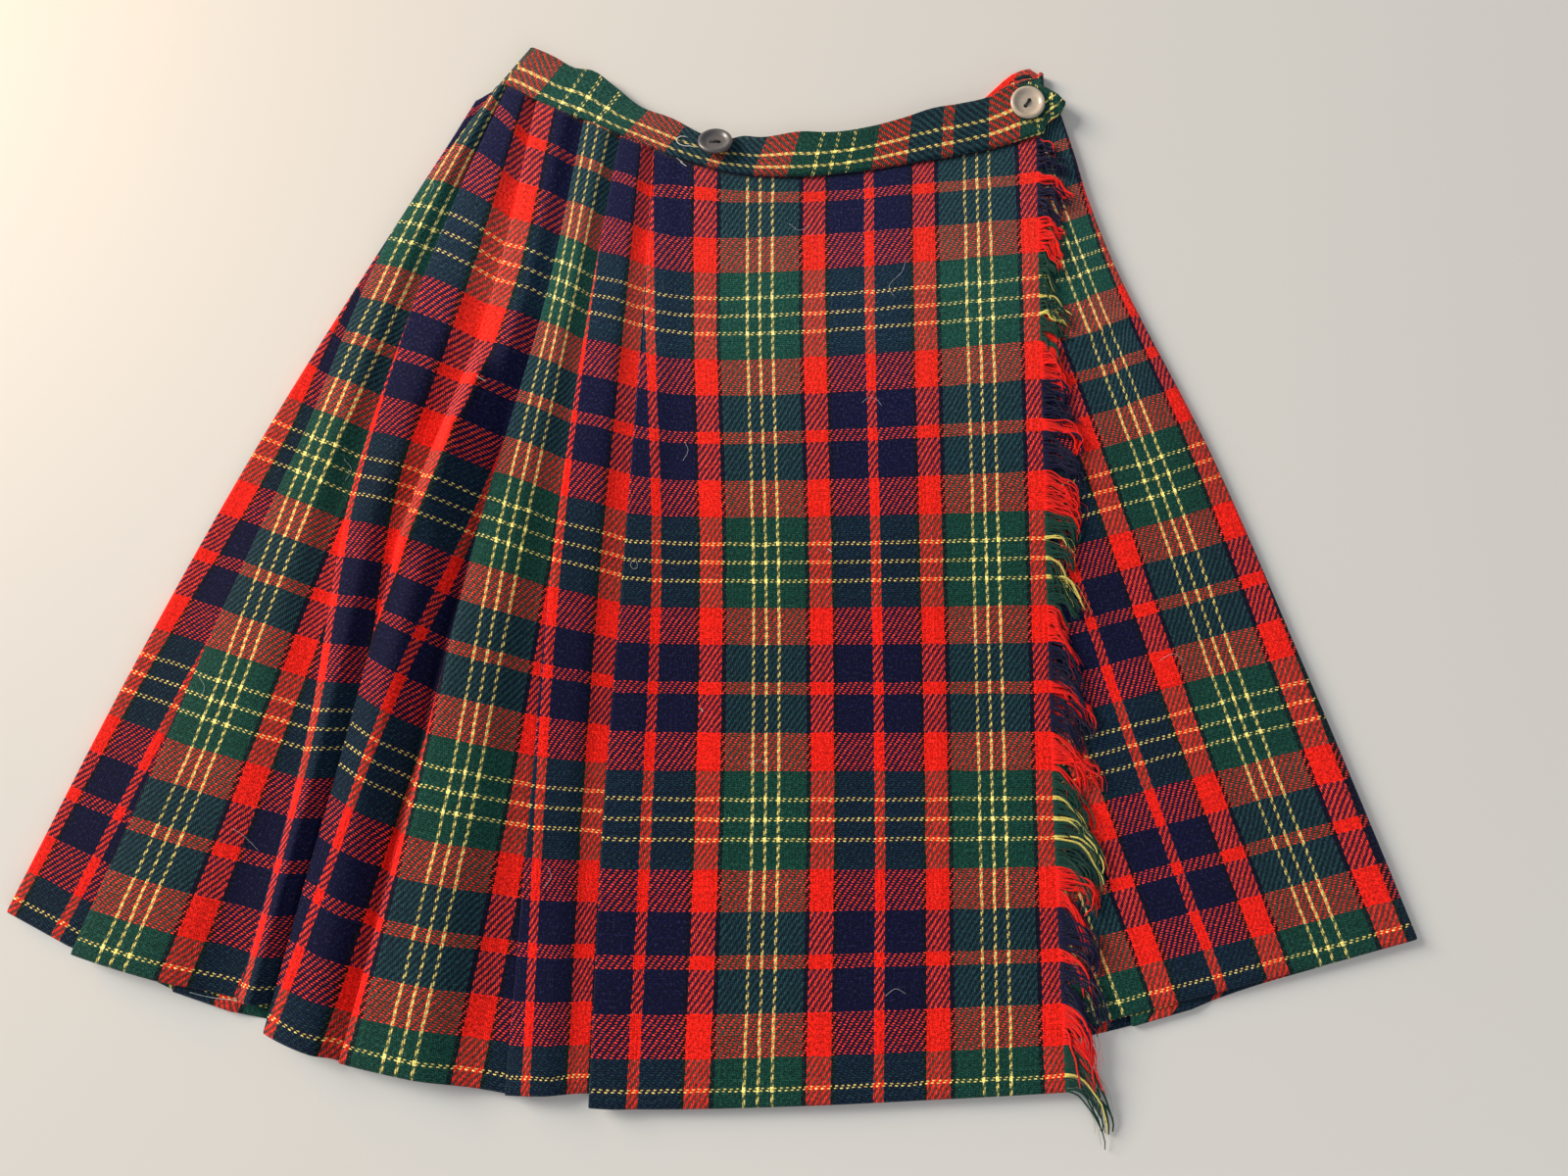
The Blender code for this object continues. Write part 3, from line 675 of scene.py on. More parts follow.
def woven_colour(tree, end, pick, weft_up):
    """The colour of the thread on top, with a little of the one beneath, and both brightnesses."""
    warp = toned(tree, thread_colour(tree, ENDS, end, WARP), end)
    weft = toned(tree, thread_colour(tree, PICKS, pick, WEFT), pick)
    warp_light, weft_light = brightness(tree, warp), brightness(tree, weft)
    unlike = calc(tree, "ABSOLUTE", calc(tree, "SUBTRACT", warp_light, weft_light))
    bleed = calc(tree, "MAXIMUM", scaled(tree, unlike, *BLEED), BLEED_LEAST)
    share = scaled(tree, weft_up, scaled(tree, bleed, -2, 1), bleed)
    warp_shown = hazed(tree, warp, warp_light, weft_light)
    weft_shown = hazed(tree, weft, weft_light, warp_light)
    return mix(tree, share, warp_shown, weft_shown), warp_light, weft_light


def shade(tree, cloth, relief, darker, nap):
    """Painted shade: darker in the gaps between threads, most where both are dark, and mottled."""
    depth = scaled(tree, darker, *GAP_SHADE_DEPTH)
    gap = calc(tree, "MULTIPLY", calc(tree, "SUBTRACT", 1, relief), depth)
    light = calc(tree, "MAXIMUM", scaled(tree, gap, *GAP_SHADE), 0.05)
    light = calc(tree, "MULTIPLY", light, scaled(tree, nap, *NAP_SHADE))
    broad = noise(tree, cloth, 3.5, 4, 0.6)
    return calc(tree, "MULTIPLY", light, scaled(tree, broad, *BROAD_SHADE))


# %% The tartan group
def tartan_group():
    """Colour and relief of the twill from the pattern numbers across (x) and down (y)."""
    tree, given, result = new_group(
        "tartan twill",
        [("Cloth", "NodeSocketVector", None), ("Fuzz", "NodeSocketFloat", 1.0)],
        [("Colour", "NodeSocketColor"), ("Relief", "NodeSocketFloat")],
    )
    cloth, fuzz = given.outputs["Cloth"], given.outputs["Fuzz"]
    end, pick, weft_up, warp_relief, weft_relief = weave(tree, cloth)
    colour, warp_light, weft_light = woven_colour(tree, end, pick, weft_up)
    relief = calc(tree, "ADD", warp_relief, weft_relief)
    nap = noise(tree, cloth, 90, 6, 0.72)
    darker = calc(tree, "MINIMUM", warp_light, weft_light)
    # The painted shade between the threads darkens the colour here
    colour = mix(tree, 1.0, colour, shade(tree, cloth, relief, darker, nap), "MULTIPLY")
    # Green over navy looks slate blue, and navy over green takes the green down
    lighter = calc(tree, "SUBTRACT", warp_light, weft_light)
    slate = calc(tree, "MULTIPLY", near(tree, lighter, GREEN_FROM_NAVY), warp_relief)
    colour = mix(tree, calc(tree, "MULTIPLY", slate, SLATE_SHARE), colour, SLATE)
    colour = mix(tree, near(tree, lighter, -GREEN_FROM_NAVY), colour, SHADED_GREEN, "MULTIPLY")
    haze = calc(tree, "MULTIPLY", scaled(tree, nap, *NAP_HAZE), fuzz)
    colour = mix(tree, calc(tree, "MAXIMUM", haze, 0), colour, LINT_GREY)
    # The nap stands over the threads' own relief, and the colours deepen down the skirt
    hairs = calc(tree, "MULTIPLY", calc(tree, "SUBTRACT", nap, 0.5), fuzz)
    join(tree, calc(tree, "ADD", relief, hairs), result.inputs["Relief"])
    down = between(tree, parts(tree, cloth)[1], 0, 1)
    join(tree, deepened(tree, colour, scaled(tree, down, *DEEPER_DOWN)), result.inputs["Colour"])
    return tree


TARTAN = tartan_group()
print(f"the tartan group has {len(TARTAN.nodes)} nodes")

# %% [markdown]
# ## Wool
#
# Brushed wool scatters light, so it has no highlight, only a faint pale sheen where it is seen
# along its nap. The relief of the threads and of the nap goes through a Bump node. The fringe uses
# the weft's thread list alone, because its strands are the weft with the warp drawn out.

# %% Wool material
def wool(name):
    """The tartan on a wall of cloth, read from its UV map."""
    material, tree, shader = new_material(name, {
        "Roughness": 0.92, "Specular IOR Level": 0.12,
        "Sheen Weight": 0.10, "Sheen Roughness": 0.45,
    })
    pattern = tree.nodes.new("ShaderNodeGroup")
    pattern.node_tree = TARTAN
    join(tree, pattern_numbers(tree), pattern.inputs["Cloth"])
    join(tree, pattern.outputs["Colour"], shader.inputs["Base Color"])
    bump(tree, shader, pattern.outputs["Relief"], 0.6, 0.35 * MM)
    return material


WOOL = wool("tartan wool")
print("material:", WOOL.name)

# %% [markdown]
# ## The pleats on the left
#
# The front's left is one length of cloth from beneath the apron to the back. Each panel runs from
# the edge of its own pleat, on top, down to the edge of the next one, which covers it. There the
# cloth goes on underneath, comes back, and turns over its edge. The table says how deep each pleat
# tucks under and how far its panel puffs up between its edges.

# %% Pleat table
# Tuck at the waist and at the hem, as shares of the panel, how much shorter the cloth beneath hangs
# and how far the panel puffs up at the waist and at the hem, in mm
PLEATS = {
    "pleat_1": (0.42, 0.42, 2, 1.2, 5.0),
    "pleat_2": (0.45, 0.12, 0, 1.2, 5.5),
    "pleat_3": (0.45, 0.60, 15, 1.2, 5.0),
    "pleat_4": (0.45, 0.08, 0, 1.4, 4.5),
    "pleat_5": (0.45, 0.08, 0, 0.8, 2.6),
    "pleat_6": (0.14, 0.14, 7, 0.0, 0.0),
}
LEFTWARD_FOLDS = ("pleat_6", "pleat_5", "pleat_4", "pleat_3", "pleat_2", "pleat_1", "left_side")


def pleat_frame(fold, right_fold):
    """The fold's line, the way across to the right, the tuck's depth and the panel's width."""
    line, right = fold_line(fold), fold_line(right_fold)
    width = np.linalg.norm(right - line, axis=1)
    at_waist, at_hem = PLEATS[fold][:2]
    depth = width * (at_waist + (at_hem - at_waist) * DOWN)
    return line, unit(right - line), depth[:, None], width[:, None]


def under_line(fold):
    """The fold's line for the cloth beneath it, whose hem hangs a little higher."""
    shorter = PLEATS[fold][2] * MM / SKIRT_LENGTH
    return fold_line(fold, DOWN * (1 - shorter * DOWN))


for fold, right_fold in zip(LEFTWARD_FOLDS[1:-1], LEFTWARD_FOLDS):
    widths = 1000 * pleat_frame(fold, right_fold)[3][[0, -1], 0]
    print(f"{fold}: {widths[0]:.0f} mm wide at the waist, {widths[1]:.0f} mm at the hem")

# %% A panel
PANEL_COLUMNS = 24
# Where the cloth starts to climb and where it is up, as shares of what the tuck leaves, and the
# most of the panel that the climb takes
CLIMB_START, CLIMB_END, CLIMB_MOST = 0.08, 0.15, 0.5
PUFF_POWER = 0.8


def add_panel(cloth, fold, right_fold):
    """A panel from the right fold, where it lies low, up to the top of its own pleat's edge.

    It climbs by a smooth step, and puffs up by a power of the sine of the share of its width."""
    line, across, depth, width = pleat_frame(fold, right_fold)
    under = under_line(right_fold)
    rest = width - depth
    low = (CLIMB_START * rest / width)[:, 0]
    high = np.minimum((1 - (depth + CLIMB_END * rest) / width)[:, 0], low + CLIMB_MOST)
    left_threads, right_threads = repeats_across(fold, 0), repeats_across(fold, 1)
    left_down, right_down = repeats_down(fold), repeats_down(right_fold)
    puff = (PLEATS[fold][3] + (PLEATS[fold][4] - PLEATS[fold][3]) * DOWN) * MM
    for share in np.linspace(0, 1, PANEL_COLUMNS)[:-1]:
        climb = smooth_step((share - low) / (high - low))
        level = FRONT_LOW + (FRONT_HIGH - FRONT_LOW) * climb
        level = level + puff * climb * math.sin(math.pi * share) ** PUFF_POWER
        threads = right_threads + (left_threads - right_threads) * share
        down = right_down + (left_down - right_down) * share
        cloth.add(under + (line + across * TURN - under) * share, level, threads, down)


def add_tuck(cloth, fold, right_fold, beyond):
    """Over the edge of the pleat, back under it to the right, and round to the layer below."""
    line, across, depth, _ = pleat_frame(fold, right_fold)
    below = under_line(fold)
    middle = (line + below) / 2
    threads, down = repeats_across(fold, 0), repeats_down(fold)
    inside = depth[:, 0] / REPEAT_ACROSS
    cloth.turn(line, across, -1, FRONT_HIGH, threads, down)
    for share in (0.3, 0.6, 0.9):
        place = middle + across * (TURN + (depth - 2 * TURN) * share)
        cloth.add(place, FRONT_MID, threads - inside * share, down)
    cloth.turn(middle + across * depth, across, 1, FRONT_MID, beyond + inside, down)
    for share in (0.7, 0.4, 0.15):
        place = below + across * (TURN + (depth - 2 * TURN) * share)
        cloth.add(place, FRONT_LOW, beyond + inside * share, down)


# %% A side, and the strip that is turned under at it
SIDE_STRIP = 55 * MM
STRIP_AT_WAIST = 0.35
SIDE_BACK_SHARE = 0.04
SIDE_STRIP_SHARE = 0.36


def strip_place(side, middle, share):
    """A line on the strip that is turned under at a side, wider towards the hem, and its way in."""
    line = fold_line(side)
    inward = unit(fold_line(middle) - line)
    narrow = (STRIP_AT_WAIST + (1 - STRIP_AT_WAIST) * DOWN)[:, None]
    return line + inward * (SIDE_ROLL + (SIDE_STRIP - SIDE_ROLL) * share * narrow), line, inward


def side_columns(cloth, side, middle, start, threads, strip_threads, down):
    """From the last column, round the side's soft roll and back under as a strip on the table."""
    _, line, inward = strip_place(side, middle, 0)
    for share in np.linspace(1, 0, 10)[1:]:
        place = line + (start - line) * share + inward * SIDE_ROLL * (1 - share)
        cloth.add(place, FRONT_LOW, threads[0] * share + threads[1] * (1 - share), down)
    for angle in (70, 45, 20, 0, -20, -45, -70, -90):
        place = line + inward * SIDE_ROLL * (1 - math.cos(math.radians(angle)))
        rise = 1 + math.sin(math.radians(angle))
        height = BACK_OUTER + SIDE_ROLL * rise + lie(line) * rise / 2
        thread = threads[1] + strip_threads * SIDE_BACK_SHARE * (90 - angle) / 180
        cloth.add(place, height, thread, down, lies=False)
    for share in (0.25, 0.5, 0.75, 1.0):
        place = strip_place(side, middle, share)[0]
        thread = threads[1] + strip_threads * (SIDE_BACK_SHARE + SIDE_STRIP_SHARE * share)
        cloth.add(place, BACK_OUTER, thread, down, lies=False)


# %% The left of the front
def left_pleats():
    """All the left panels in turn, from beneath the apron to the strip turned under at the side."""
    cloth = Cloth()
    _, across, depth, _ = pleat_frame("pleat_6", "apron_middle")
    below = under_line("pleat_6")
    hidden = repeats_across("pleat_5", 1)
    down = repeats_down("pleat_6")
    for share in (1.0, 0.5):
        inside = depth[:, 0] / REPEAT_ACROSS * share
        cloth.add(below + across * depth * share, FRONT_LOW, hidden + inside, down)
    for right_fold, fold, next_fold in zip(LEFTWARD_FOLDS, LEFTWARD_FOLDS[1:], LEFTWARD_FOLDS[2:]):
        add_panel(cloth, fold, right_fold)
        add_tuck(cloth, fold, right_fold, repeats_across(next_fold, 1))
    threads = (repeats_across("left_side", 1), repeats_across("left_side", 0))
    start = under_line("pleat_1")
    side_columns(cloth, "left_side", "pleat_2", start, threads, -1.0, repeats_down("left_side"))
    return cloth_mesh("pleated_front", cloth.grid(), WOOL)


pleats = left_pleats()
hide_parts("left_pleats")

# %% [markdown]
# ## The apron
#
# The apron is the only flat panel, so the tartan shows whole on it. Its left edge is folded under
# along the last pleat, and its right edge is raw, with the fringe drawn out of it.

# %% Apron
APRON_COLUMNS = 70
APRON_EDGE = (1.0, 0.998, 0.995)
APRON_STEP = 14 * MM


def over_apron():
    """A quadratic through the fold, the middle and the edge of the apron, then its tuck.

    At a share s of the way the weights of the three are (1 - s)(1 - 2s), 4s(1 - s) and s(2s - 1).
    Its middle is at repeat zero."""
    names = ("pleat_6", "apron_middle", "apron_edge")
    fold, middle, edge = (fold_line(name) for name in names)
    fold_down, middle_down, edge_down = (repeats_down(name) for name in names)
    left, right = repeats_across("pleat_6", 0), repeats_across("pleat_6", 1)
    _, across, depth, _ = pleat_frame("pleat_6", "apron_middle")
    cloth = Cloth()
    for share in [*APRON_EDGE, *np.linspace(1, 0, APRON_COLUMNS)[1:-1]]:
        first, third = (1 - share) * (1 - 2 * share), share * (2 * share - 1)
        second = 4 * share * (1 - share)
        place = fold * first + middle * second + edge * third
        down = fold_down * first + middle_down * second + edge_down * third
        from_fold = np.linalg.norm(place - fold, axis=1)
        rise = smooth_step(1 - (from_fold - depth[:, 0]) / APRON_STEP)
        cloth.add(place, FRONT_MID + LAYER * rise, left * first + right * third, down)
    cloth.turn(fold, across, -1, FRONT_HIGH, left, fold_down)
    for share in (0.4, 0.7, 1.0):
        inside = depth[:, 0] / REPEAT_ACROSS * share
        cloth.add(fold + across * (depth - 1 * MM) * share, FRONT_MID, left - inside, fold_down)
    return cloth_mesh("apron", cloth.grid(), WOOL)


apron = over_apron()
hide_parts("over_apron")

# %% [markdown]
# ## The right panel and the back
#
# The right panel starts under the apron, slants out beyond the fringe and turns under at the right
# side. Its top corner is drawn up a little, so that it stays beneath the tab of the band. The back
# lies under everything with nine knife pleats. Only its hem peeps out in two places, but the skirt
# can be turned over, so its outer faces are made as fully as the front.

# %% Right panel
UNDER_COLUMNS = 60
CORNER_RISE = 11 * MM
CORNER_FROM = 200 * MM
CORNER_RAMP = 10 * MM
CORNER_SHARE = 0.1


def under_apron():
    """Straight across from the hidden end to the panel's middle, on to the side, and round it."""
    start, middle = fold_line("under_end"), fold_line("right_middle")
    start_down, middle_down = repeats_down("under_end"), repeats_down("right_middle")
    width = np.linalg.norm(middle - start, axis=1)
    cloth = Cloth()
    for share in np.linspace(0, 1, UNDER_COLUMNS):
        threads = -(1 - share) * width / REPEAT_ACROSS
        down = start_down + (middle_down - start_down) * share
        cloth.add(start + (middle - start) * share, FRONT_LOW, threads, down)
    threads = (repeats_across("right_middle", 0), repeats_across("right_middle", 1))
    down = repeats_down("right_side")
    side_columns(cloth, "right_side", "right_middle", middle, threads, 1.0, down)
    grid = cloth.grid()
    beneath_tab = smooth_step((grid[..., 0] - CORNER_FROM) / CORNER_RAMP)
    grid[..., 1] += CORNER_RISE * beneath_tab * np.clip(1 - DOWN / CORNER_SHARE, 0, 1)[:, None]
    return cloth_mesh("right_front", grid, WOOL)


right_front = under_apron()
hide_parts("under_apron")

# %% Back
BACK_PLEATS = 9
BACK_TUCK = 0.42
BACK_GAP = 0.4 * MM
BACK_SEAM_REPEAT = -0.6
BACK_REPEATS = 3.57
BACK_FIRST_REPEAT = 0.32
BACK_HEM = (
    (-350, -226), (-317, -244), (-274, -259), (-200, -271), (0, -284), (200, -276), (262, -261),
    (312, -245), (345, -236),
)


def back():
    """Nine pleats between the two turned-under strips, each folded under to the left."""
    left = strip_place("left_side", "pleat_2", 1)[0]
    right = strip_place("right_side", "right_middle", 1)[0]
    across = unit(right - left)
    left, right = left + across * BACK_GAP, right - across * BACK_GAP
    width = np.linalg.norm(right - left, axis=1)[:, None] / BACK_PLEATS
    depth = width * BACK_TUCK
    down = BACK_SEAM_REPEAT + BACK_REPEATS * DOWN
    halfway = BACK_OUTER + LAYER
    cloth = Cloth()

    def add(distance, height, hidden):
        """A column so far across, with so much cloth hidden in the pleats before it."""
        place = left + across * distance
        hem = smooth_curve(BACK_HEM, [place[-1, 0] / MM])[0, 0] * MM
        seam = seam_height(place[:1, 0])[0]
        place[:, 1] = seam + (hem - seam) * DOWN
        threads = -(distance + hidden)[:, 0] / REPEAT_ACROSS + BACK_FIRST_REPEAT
        cloth.add(place, height, threads, down, lies=False)

    for pleat in range(1, BACK_PLEATS + 1):
        edge = width * pleat
        hidden = 2 * depth * (pleat - 1)
        for share in np.linspace(1, 0, 6)[:-1]:
            add(edge - width * share * 0.8, BACK_OUTER, hidden)
        if pleat == BACK_PLEATS:
            add(edge, BACK_OUTER, hidden)
            break
        for distance, height, tucks in (
            (edge - TURN, BACK_OUTER, 0),
            (edge, BACK_OUTER + TURN, 0),
            (edge - TURN, halfway, 0),
            (edge - depth * 0.5, halfway, 1),
            (edge - depth + TURN, halfway, 2),
            (edge - depth, halfway + TURN, 2),
            (edge - depth + TURN, BACK_INNER, 2),
            (edge + TURN, BACK_INNER, 2),
        ):
            add(distance, height, hidden + tucks * depth)
    return cloth_mesh("pleated_back", cloth.grid(), WOOL)


pleated_back = back()
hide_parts("back_pleats")

# %% [markdown]
# ## The waistband
#
# The band is a strip of the same wool, cut along the warp, so its stripes cross it and the yellow
# lines of the green stripe run along it. It is folded double over its top edge. Its middle follows
# the solid: from the rounded tab across the front, round the left side, along the back and in under
# the apron.

# %% The band's path
BAND_LEFT_END = (-135, -116)
BAND_RIGHT_END = (203, 202)
LEFTWARD = tuple(zip(BAND_RIGHT_END, BAND_LEFT_END))
RIGHTWARD = tuple(zip(BAND_LEFT_END, BAND_RIGHT_END))
# The rounded tab: x, and the y of its lower and upper edge, in mm
TAB = (
    (204.5, 274.5, 300.4), (208, 278.3, 298.2), (212, 280.6, 295.9), (215, 283.8, 292.6),
    (217, 287.4, 290.4),
)
BAND_BACK = BAND_CLOTH / 2
BAND_UNDER = BAND_BACK + BAND_CLOTH + 0.6 * MM
BAND_FRONT = BAND_UNDER + BAND_CLOTH + 0.5 * MM
BAND_DIP = (0.7 * MM, -2.9 * MM)
BAND_DIP_PLACES, BAND_DIP_SHARES = (-140, -70, 10, 60), (0, 1, 1, 0)
UNDER_BAND_END = 68
BACK_BAND_PEAK = 15 * MM
BACK_PEAK_PLACES, BACK_PEAK_SHARES = (158, 172, 184, 198, 202), (-0.15, 0.37, 0.7, 1, 0.75)
UNDER_PEAK_PLACES, UNDER_PEAK_SHARES = (165, 202), (0, 0.45)
FRONT_BAND_COLUMNS = 90
BACK_BAND_COLUMNS = 60
UNDER_BAND_COLUMNS = 24
ROLL_ANGLES = (60, 30, 0, -30, -60)


def band_edges(share, lower_ends, upper_ends):
    """The band's lower and upper edge, in metres, at a share of the way between its two ends."""
    x_low = lower_ends[0] + (lower_ends[1] - lower_ends[0]) * share
    x_up = upper_ends[0] + (upper_ends[1] - upper_ends[0]) * share
    y_low = smooth_curve(BAND_LOWER, x_low)[0, 0]
    y_up = smooth_curve(BAND_UPPER, x_up)[0, 0]
    return np.array([x_low, y_low]) * MM, np.array([x_up, y_up]) * MM


def peak(upper, places, shares):
    """How much further the upper edge stands up at the right, as a move in x and y."""
    return np.array([0, BACK_BAND_PEAK * np.interp(upper[0] / MM, places, shares)])


def band_path():
    """Lower edge, upper edge and their heights along the band, as rows of six numbers."""
    rows = []

    def add(lower, upper, low_height, up_height):
        rows.append([*lower, low_height, *upper, up_height])

    def roll_over(lower, upper, outward, top, angles):
        """Half a circle between the lowest level and the top one, its round side outward."""
        radius = (top - BAND_BACK) / 2
        for angle in angles:
            shift = outward * radius * math.cos(math.radians(angle))
            height = BAND_BACK + radius * (1 + math.sin(math.radians(angle)))
            add(lower + shift, upper + shift, height, height)

    for x, y_low, y_up in TAB[::-1]:
        add((x * MM, y_low * MM), (x * MM, y_up * MM), BAND_FRONT, BAND_FRONT)
    for share in np.linspace(0, 1, FRONT_BAND_COLUMNS):
        lower, upper = band_edges(share, *LEFTWARD)
        dip = np.interp(lower[0] / MM, BAND_DIP_PLACES, BAND_DIP_SHARES)
        add(lower, upper, BAND_FRONT + BAND_DIP[0] * dip, BAND_FRONT + BAND_DIP[1] * dip)
    before = band_edges(0.97, *LEFTWARD)[0]
    roll_over(lower, upper, unit(lower - before), BAND_FRONT, ROLL_ANGLES)
    for share in np.linspace(0, 1, BACK_BAND_COLUMNS):
        lower, upper = band_edges(share, *RIGHTWARD)
        upper = upper + peak(upper, BACK_PEAK_PLACES, BACK_PEAK_SHARES)
        add(lower, upper, BAND_BACK, BAND_BACK)
    roll_over(lower, upper, np.array([1, 0]), BAND_UNDER, ROLL_ANGLES[::-1])
    reach = (BAND_RIGHT_END[0] - UNDER_BAND_END) / (BAND_RIGHT_END[0] - BAND_LEFT_END[0])
    for share in np.linspace(0, reach, UNDER_BAND_COLUMNS):
        lower, upper = band_edges(share, *LEFTWARD)
        upper = upper + peak(upper, UNDER_PEAK_PLACES, UNDER_PEAK_SHARES)
        add(lower, upper, BAND_UNDER, BAND_UNDER)
    return np.array(rows)


BAND_PATH = band_path()
print(f"the band's path has {len(BAND_PATH)} columns")

# %% The band
# The repeat along the front of the band, and how far its lower edge is from the yellow line
BAND_SETT = (
    (-141, -0.36), (-90, 0.0), (-4, 0.5), (69, 1.0), (142, 1.5), (181, 1.755), (208, 2.0),
    (219, 2.06),
)
BAND_SEAM_THREADS = ((-131, -0.030), (0, -0.033), (120, -0.045), (219, -0.055))
BAND_TOP_THREADS = 0.185
BACK_BAND_START = 0.42
BACK_BAND_THREADS = -0.05
BAND_SETTLE = 1.2 * MM
BAND_FOLD = 0.75 * MM
BAND_FOLD_THREADS = 0.018
BAND_RIPPLE = 0.35 * MM
BAND_RIPPLES = 95
BAND_ROWS = 12


def waistband():
    """The band's middle surface, with a wall of cloth on each face, joined over the top edge."""
    lower, upper = BAND_PATH[:, :3], BAND_PATH[:, 3:]
    share = np.linspace(0, 1, BAND_ROWS)[:, None, None]
    middle = lower + (upper - lower) * share
    normal = unit(np.cross(np.gradient(middle, axis=1), np.gradient(middle, axis=0)))
    normal *= np.where(normal[:, :1, 2:] < 0, -1, 1)
    front = len(TAB) + FRONT_BAND_COLUMNS
    steps = np.linalg.norm(np.diff(lower, axis=0), axis=1)
    length = np.concatenate([[0], np.cumsum(steps)])
    along = np.interp(lower[:, 0] / MM, *np.array(BAND_SETT).T)
    along[front:] = BACK_BAND_START - (length[front:] - length[front - 1]) / REPEAT_DOWN
    seam = np.interp(lower[:, 0] / MM, *np.array(BAND_SEAM_THREADS).T)
    seam[front:] += BACK_BAND_THREADS
    upward = unit(upper - lower)
    upper = upper - upward * BAND_SETTLE
    height = np.linalg.norm(upper - lower, axis=1) / REPEAT_ACROSS
    height[:front] = np.minimum(height[:front], BAND_TOP_THREADS)
    middle = lower + (upper - lower) * share
    ripple = BAND_RIPPLE * np.sin(length * BAND_RIPPLES)[None, :, None] * share**2
    rows = list(middle + normal * (BAND_FOLD + ripple))
    threads = list(seam + height * share[:, :, 0])
    for angle in ROLL_ANGLES:
        rise, out = math.sin(math.radians(angle)), math.cos(math.radians(angle))
        rows.append(upper + (normal[-1] * rise + upward * out) * BAND_FOLD)
        threads.append(seam + height + BAND_FOLD_THREADS * (90 - angle) / 180)
    rows += list((middle - normal * BAND_FOLD)[::-1])
    threads += list(seam + height * (2 - share[::-1, :, 0]) + BAND_FOLD_THREADS)
    across = np.array(threads)[..., None]
    along = np.broadcast_to(along, across.shape[:2])[..., None]
    return cloth_mesh("band", np.concatenate([rows, across, along], axis=-1), WOOL)


band = waistband()
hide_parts("waistband")

# %% [markdown]
# ## The fringe
#
# The warp was pulled out of the apron's raw edge, which leaves the weft: about eight strands to the
# centimetre, each of the colour of its own row. They fray, cling together in locks and bend down as
# the skirt was laid. Each strand is a tube of five sides along a curve, and fine loose fibres, of
# three sides, lie among them.

# %% Tubes along paths
def tubes(paths, radii, sides):
    """Tubes round many paths at once: paths is strands by steps by 3, radii is strands by steps.

    Each ring lies across its own stretch of path. Gives points and quads, and an end face at each
    end of a tube."""
    count, steps = paths.shape[:2]
    heading = unit(np.gradient(paths, axis=1))
    aside = unit(np.cross(heading, [0.0, 0.0, 1.0]))
    above = np.cross(aside, heading)
    angle = (np.arange(sides) * 2 * math.pi / sides)[:, None]
    ring = aside[:, :, None] * np.cos(angle) + above[:, :, None] * np.sin(angle)
    points = paths[:, :, None] + ring * radii[:, :, None, None]
    index = np.arange(count * steps * sides).reshape(count, steps, sides)
    after = np.roll(index, -1, axis=2)
    corners = (index[:, :-1], after[:, :-1], after[:, 1:], index[:, 1:])
    quads = np.stack(corners, axis=-1).reshape(-1, 4).tolist()
    return points.reshape(-1, 3), quads + index[:, 0, ::-1].tolist() + index[:, -1].tolist()


def tube_piece(name, paths, radii, sides, material, values):
    """A mesh of tubes whose UV map holds the share along each tube and the tube's own value."""
    points, faces = tubes(paths, radii, sides)
    piece = new_object(name, points - [*CENTRE, 0], faces, material)
    shape = (*paths.shape[:2], sides)
    along = np.broadcast_to(np.linspace(0, 1, shape[1])[:, None], shape)
    value = np.broadcast_to(values[:, None, None], shape)
    keep_numbers(piece.data, np.stack([along.ravel(), value.ravel()], axis=-1))
    piece.data.shade_smooth()
    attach(piece, "root")
    print(f"{name}: {len(paths)} strands, {len(faces)} faces")
    return piece


# %% Yarn material
def yarn(name):
    """Loose weft yarn: the colour of its row, mottled by its twist."""
    material, tree, shader = new_material(name, {
        "Roughness": 0.9, "Specular IOR Level": 0.15, "Sheen Weight": 0.15,
    })
    row = parts(tree, pattern_numbers(tree))[1]
    pick = calc(tree, "FLOOR", calc(tree, "MULTIPLY", row, PICKS))
    place = tree.nodes.new("ShaderNodeTexCoord")
    twist = noise(tree, place.outputs["Object"], 1600, 2)
    colour = thread_colour(tree, PICKS, pick, WEFT)
    colour = mix(tree, 1.0, colour, scaled(tree, twist, 1.2, 0.25), "MULTIPLY")
    join(tree, deepened(tree, colour, 1.25), shader.inputs["Base Color"])
    bump(tree, shader, twist, 0.5, 0.3 * MM)
    return material


YARN = yarn("loose weft yarn")
print("material:", YARN.name)

# %% Fringe
STRANDS, STRAND_STEPS, STRAND_SIDES = 470, 14, 5
STRAND_SPREAD = 0.09
STRAND_GIRTH = 0.64 * MM
GIRTH_LEAST, GIRTH_MOST = 0.35 * MM, 0.9 * MM
FIBRES, FIBRE_STEPS, FIBRE_SIDES = 500, 9, 3
FIBRE_SPREAD = 0.14
FIBRE_GIRTH = 0.08 * MM
STRAND_REACH = 21 * MM
STRAND_DROOP = 14 * MM
DROOP_MOST = 29 * MM
LOCKS = 46
LOCK_SEED = 5
LOCK_GATHER = 0.62
WAVE = 1.5 * MM
KINK = 0.55 * MM
TABLE_GAP = 1.2 * MM


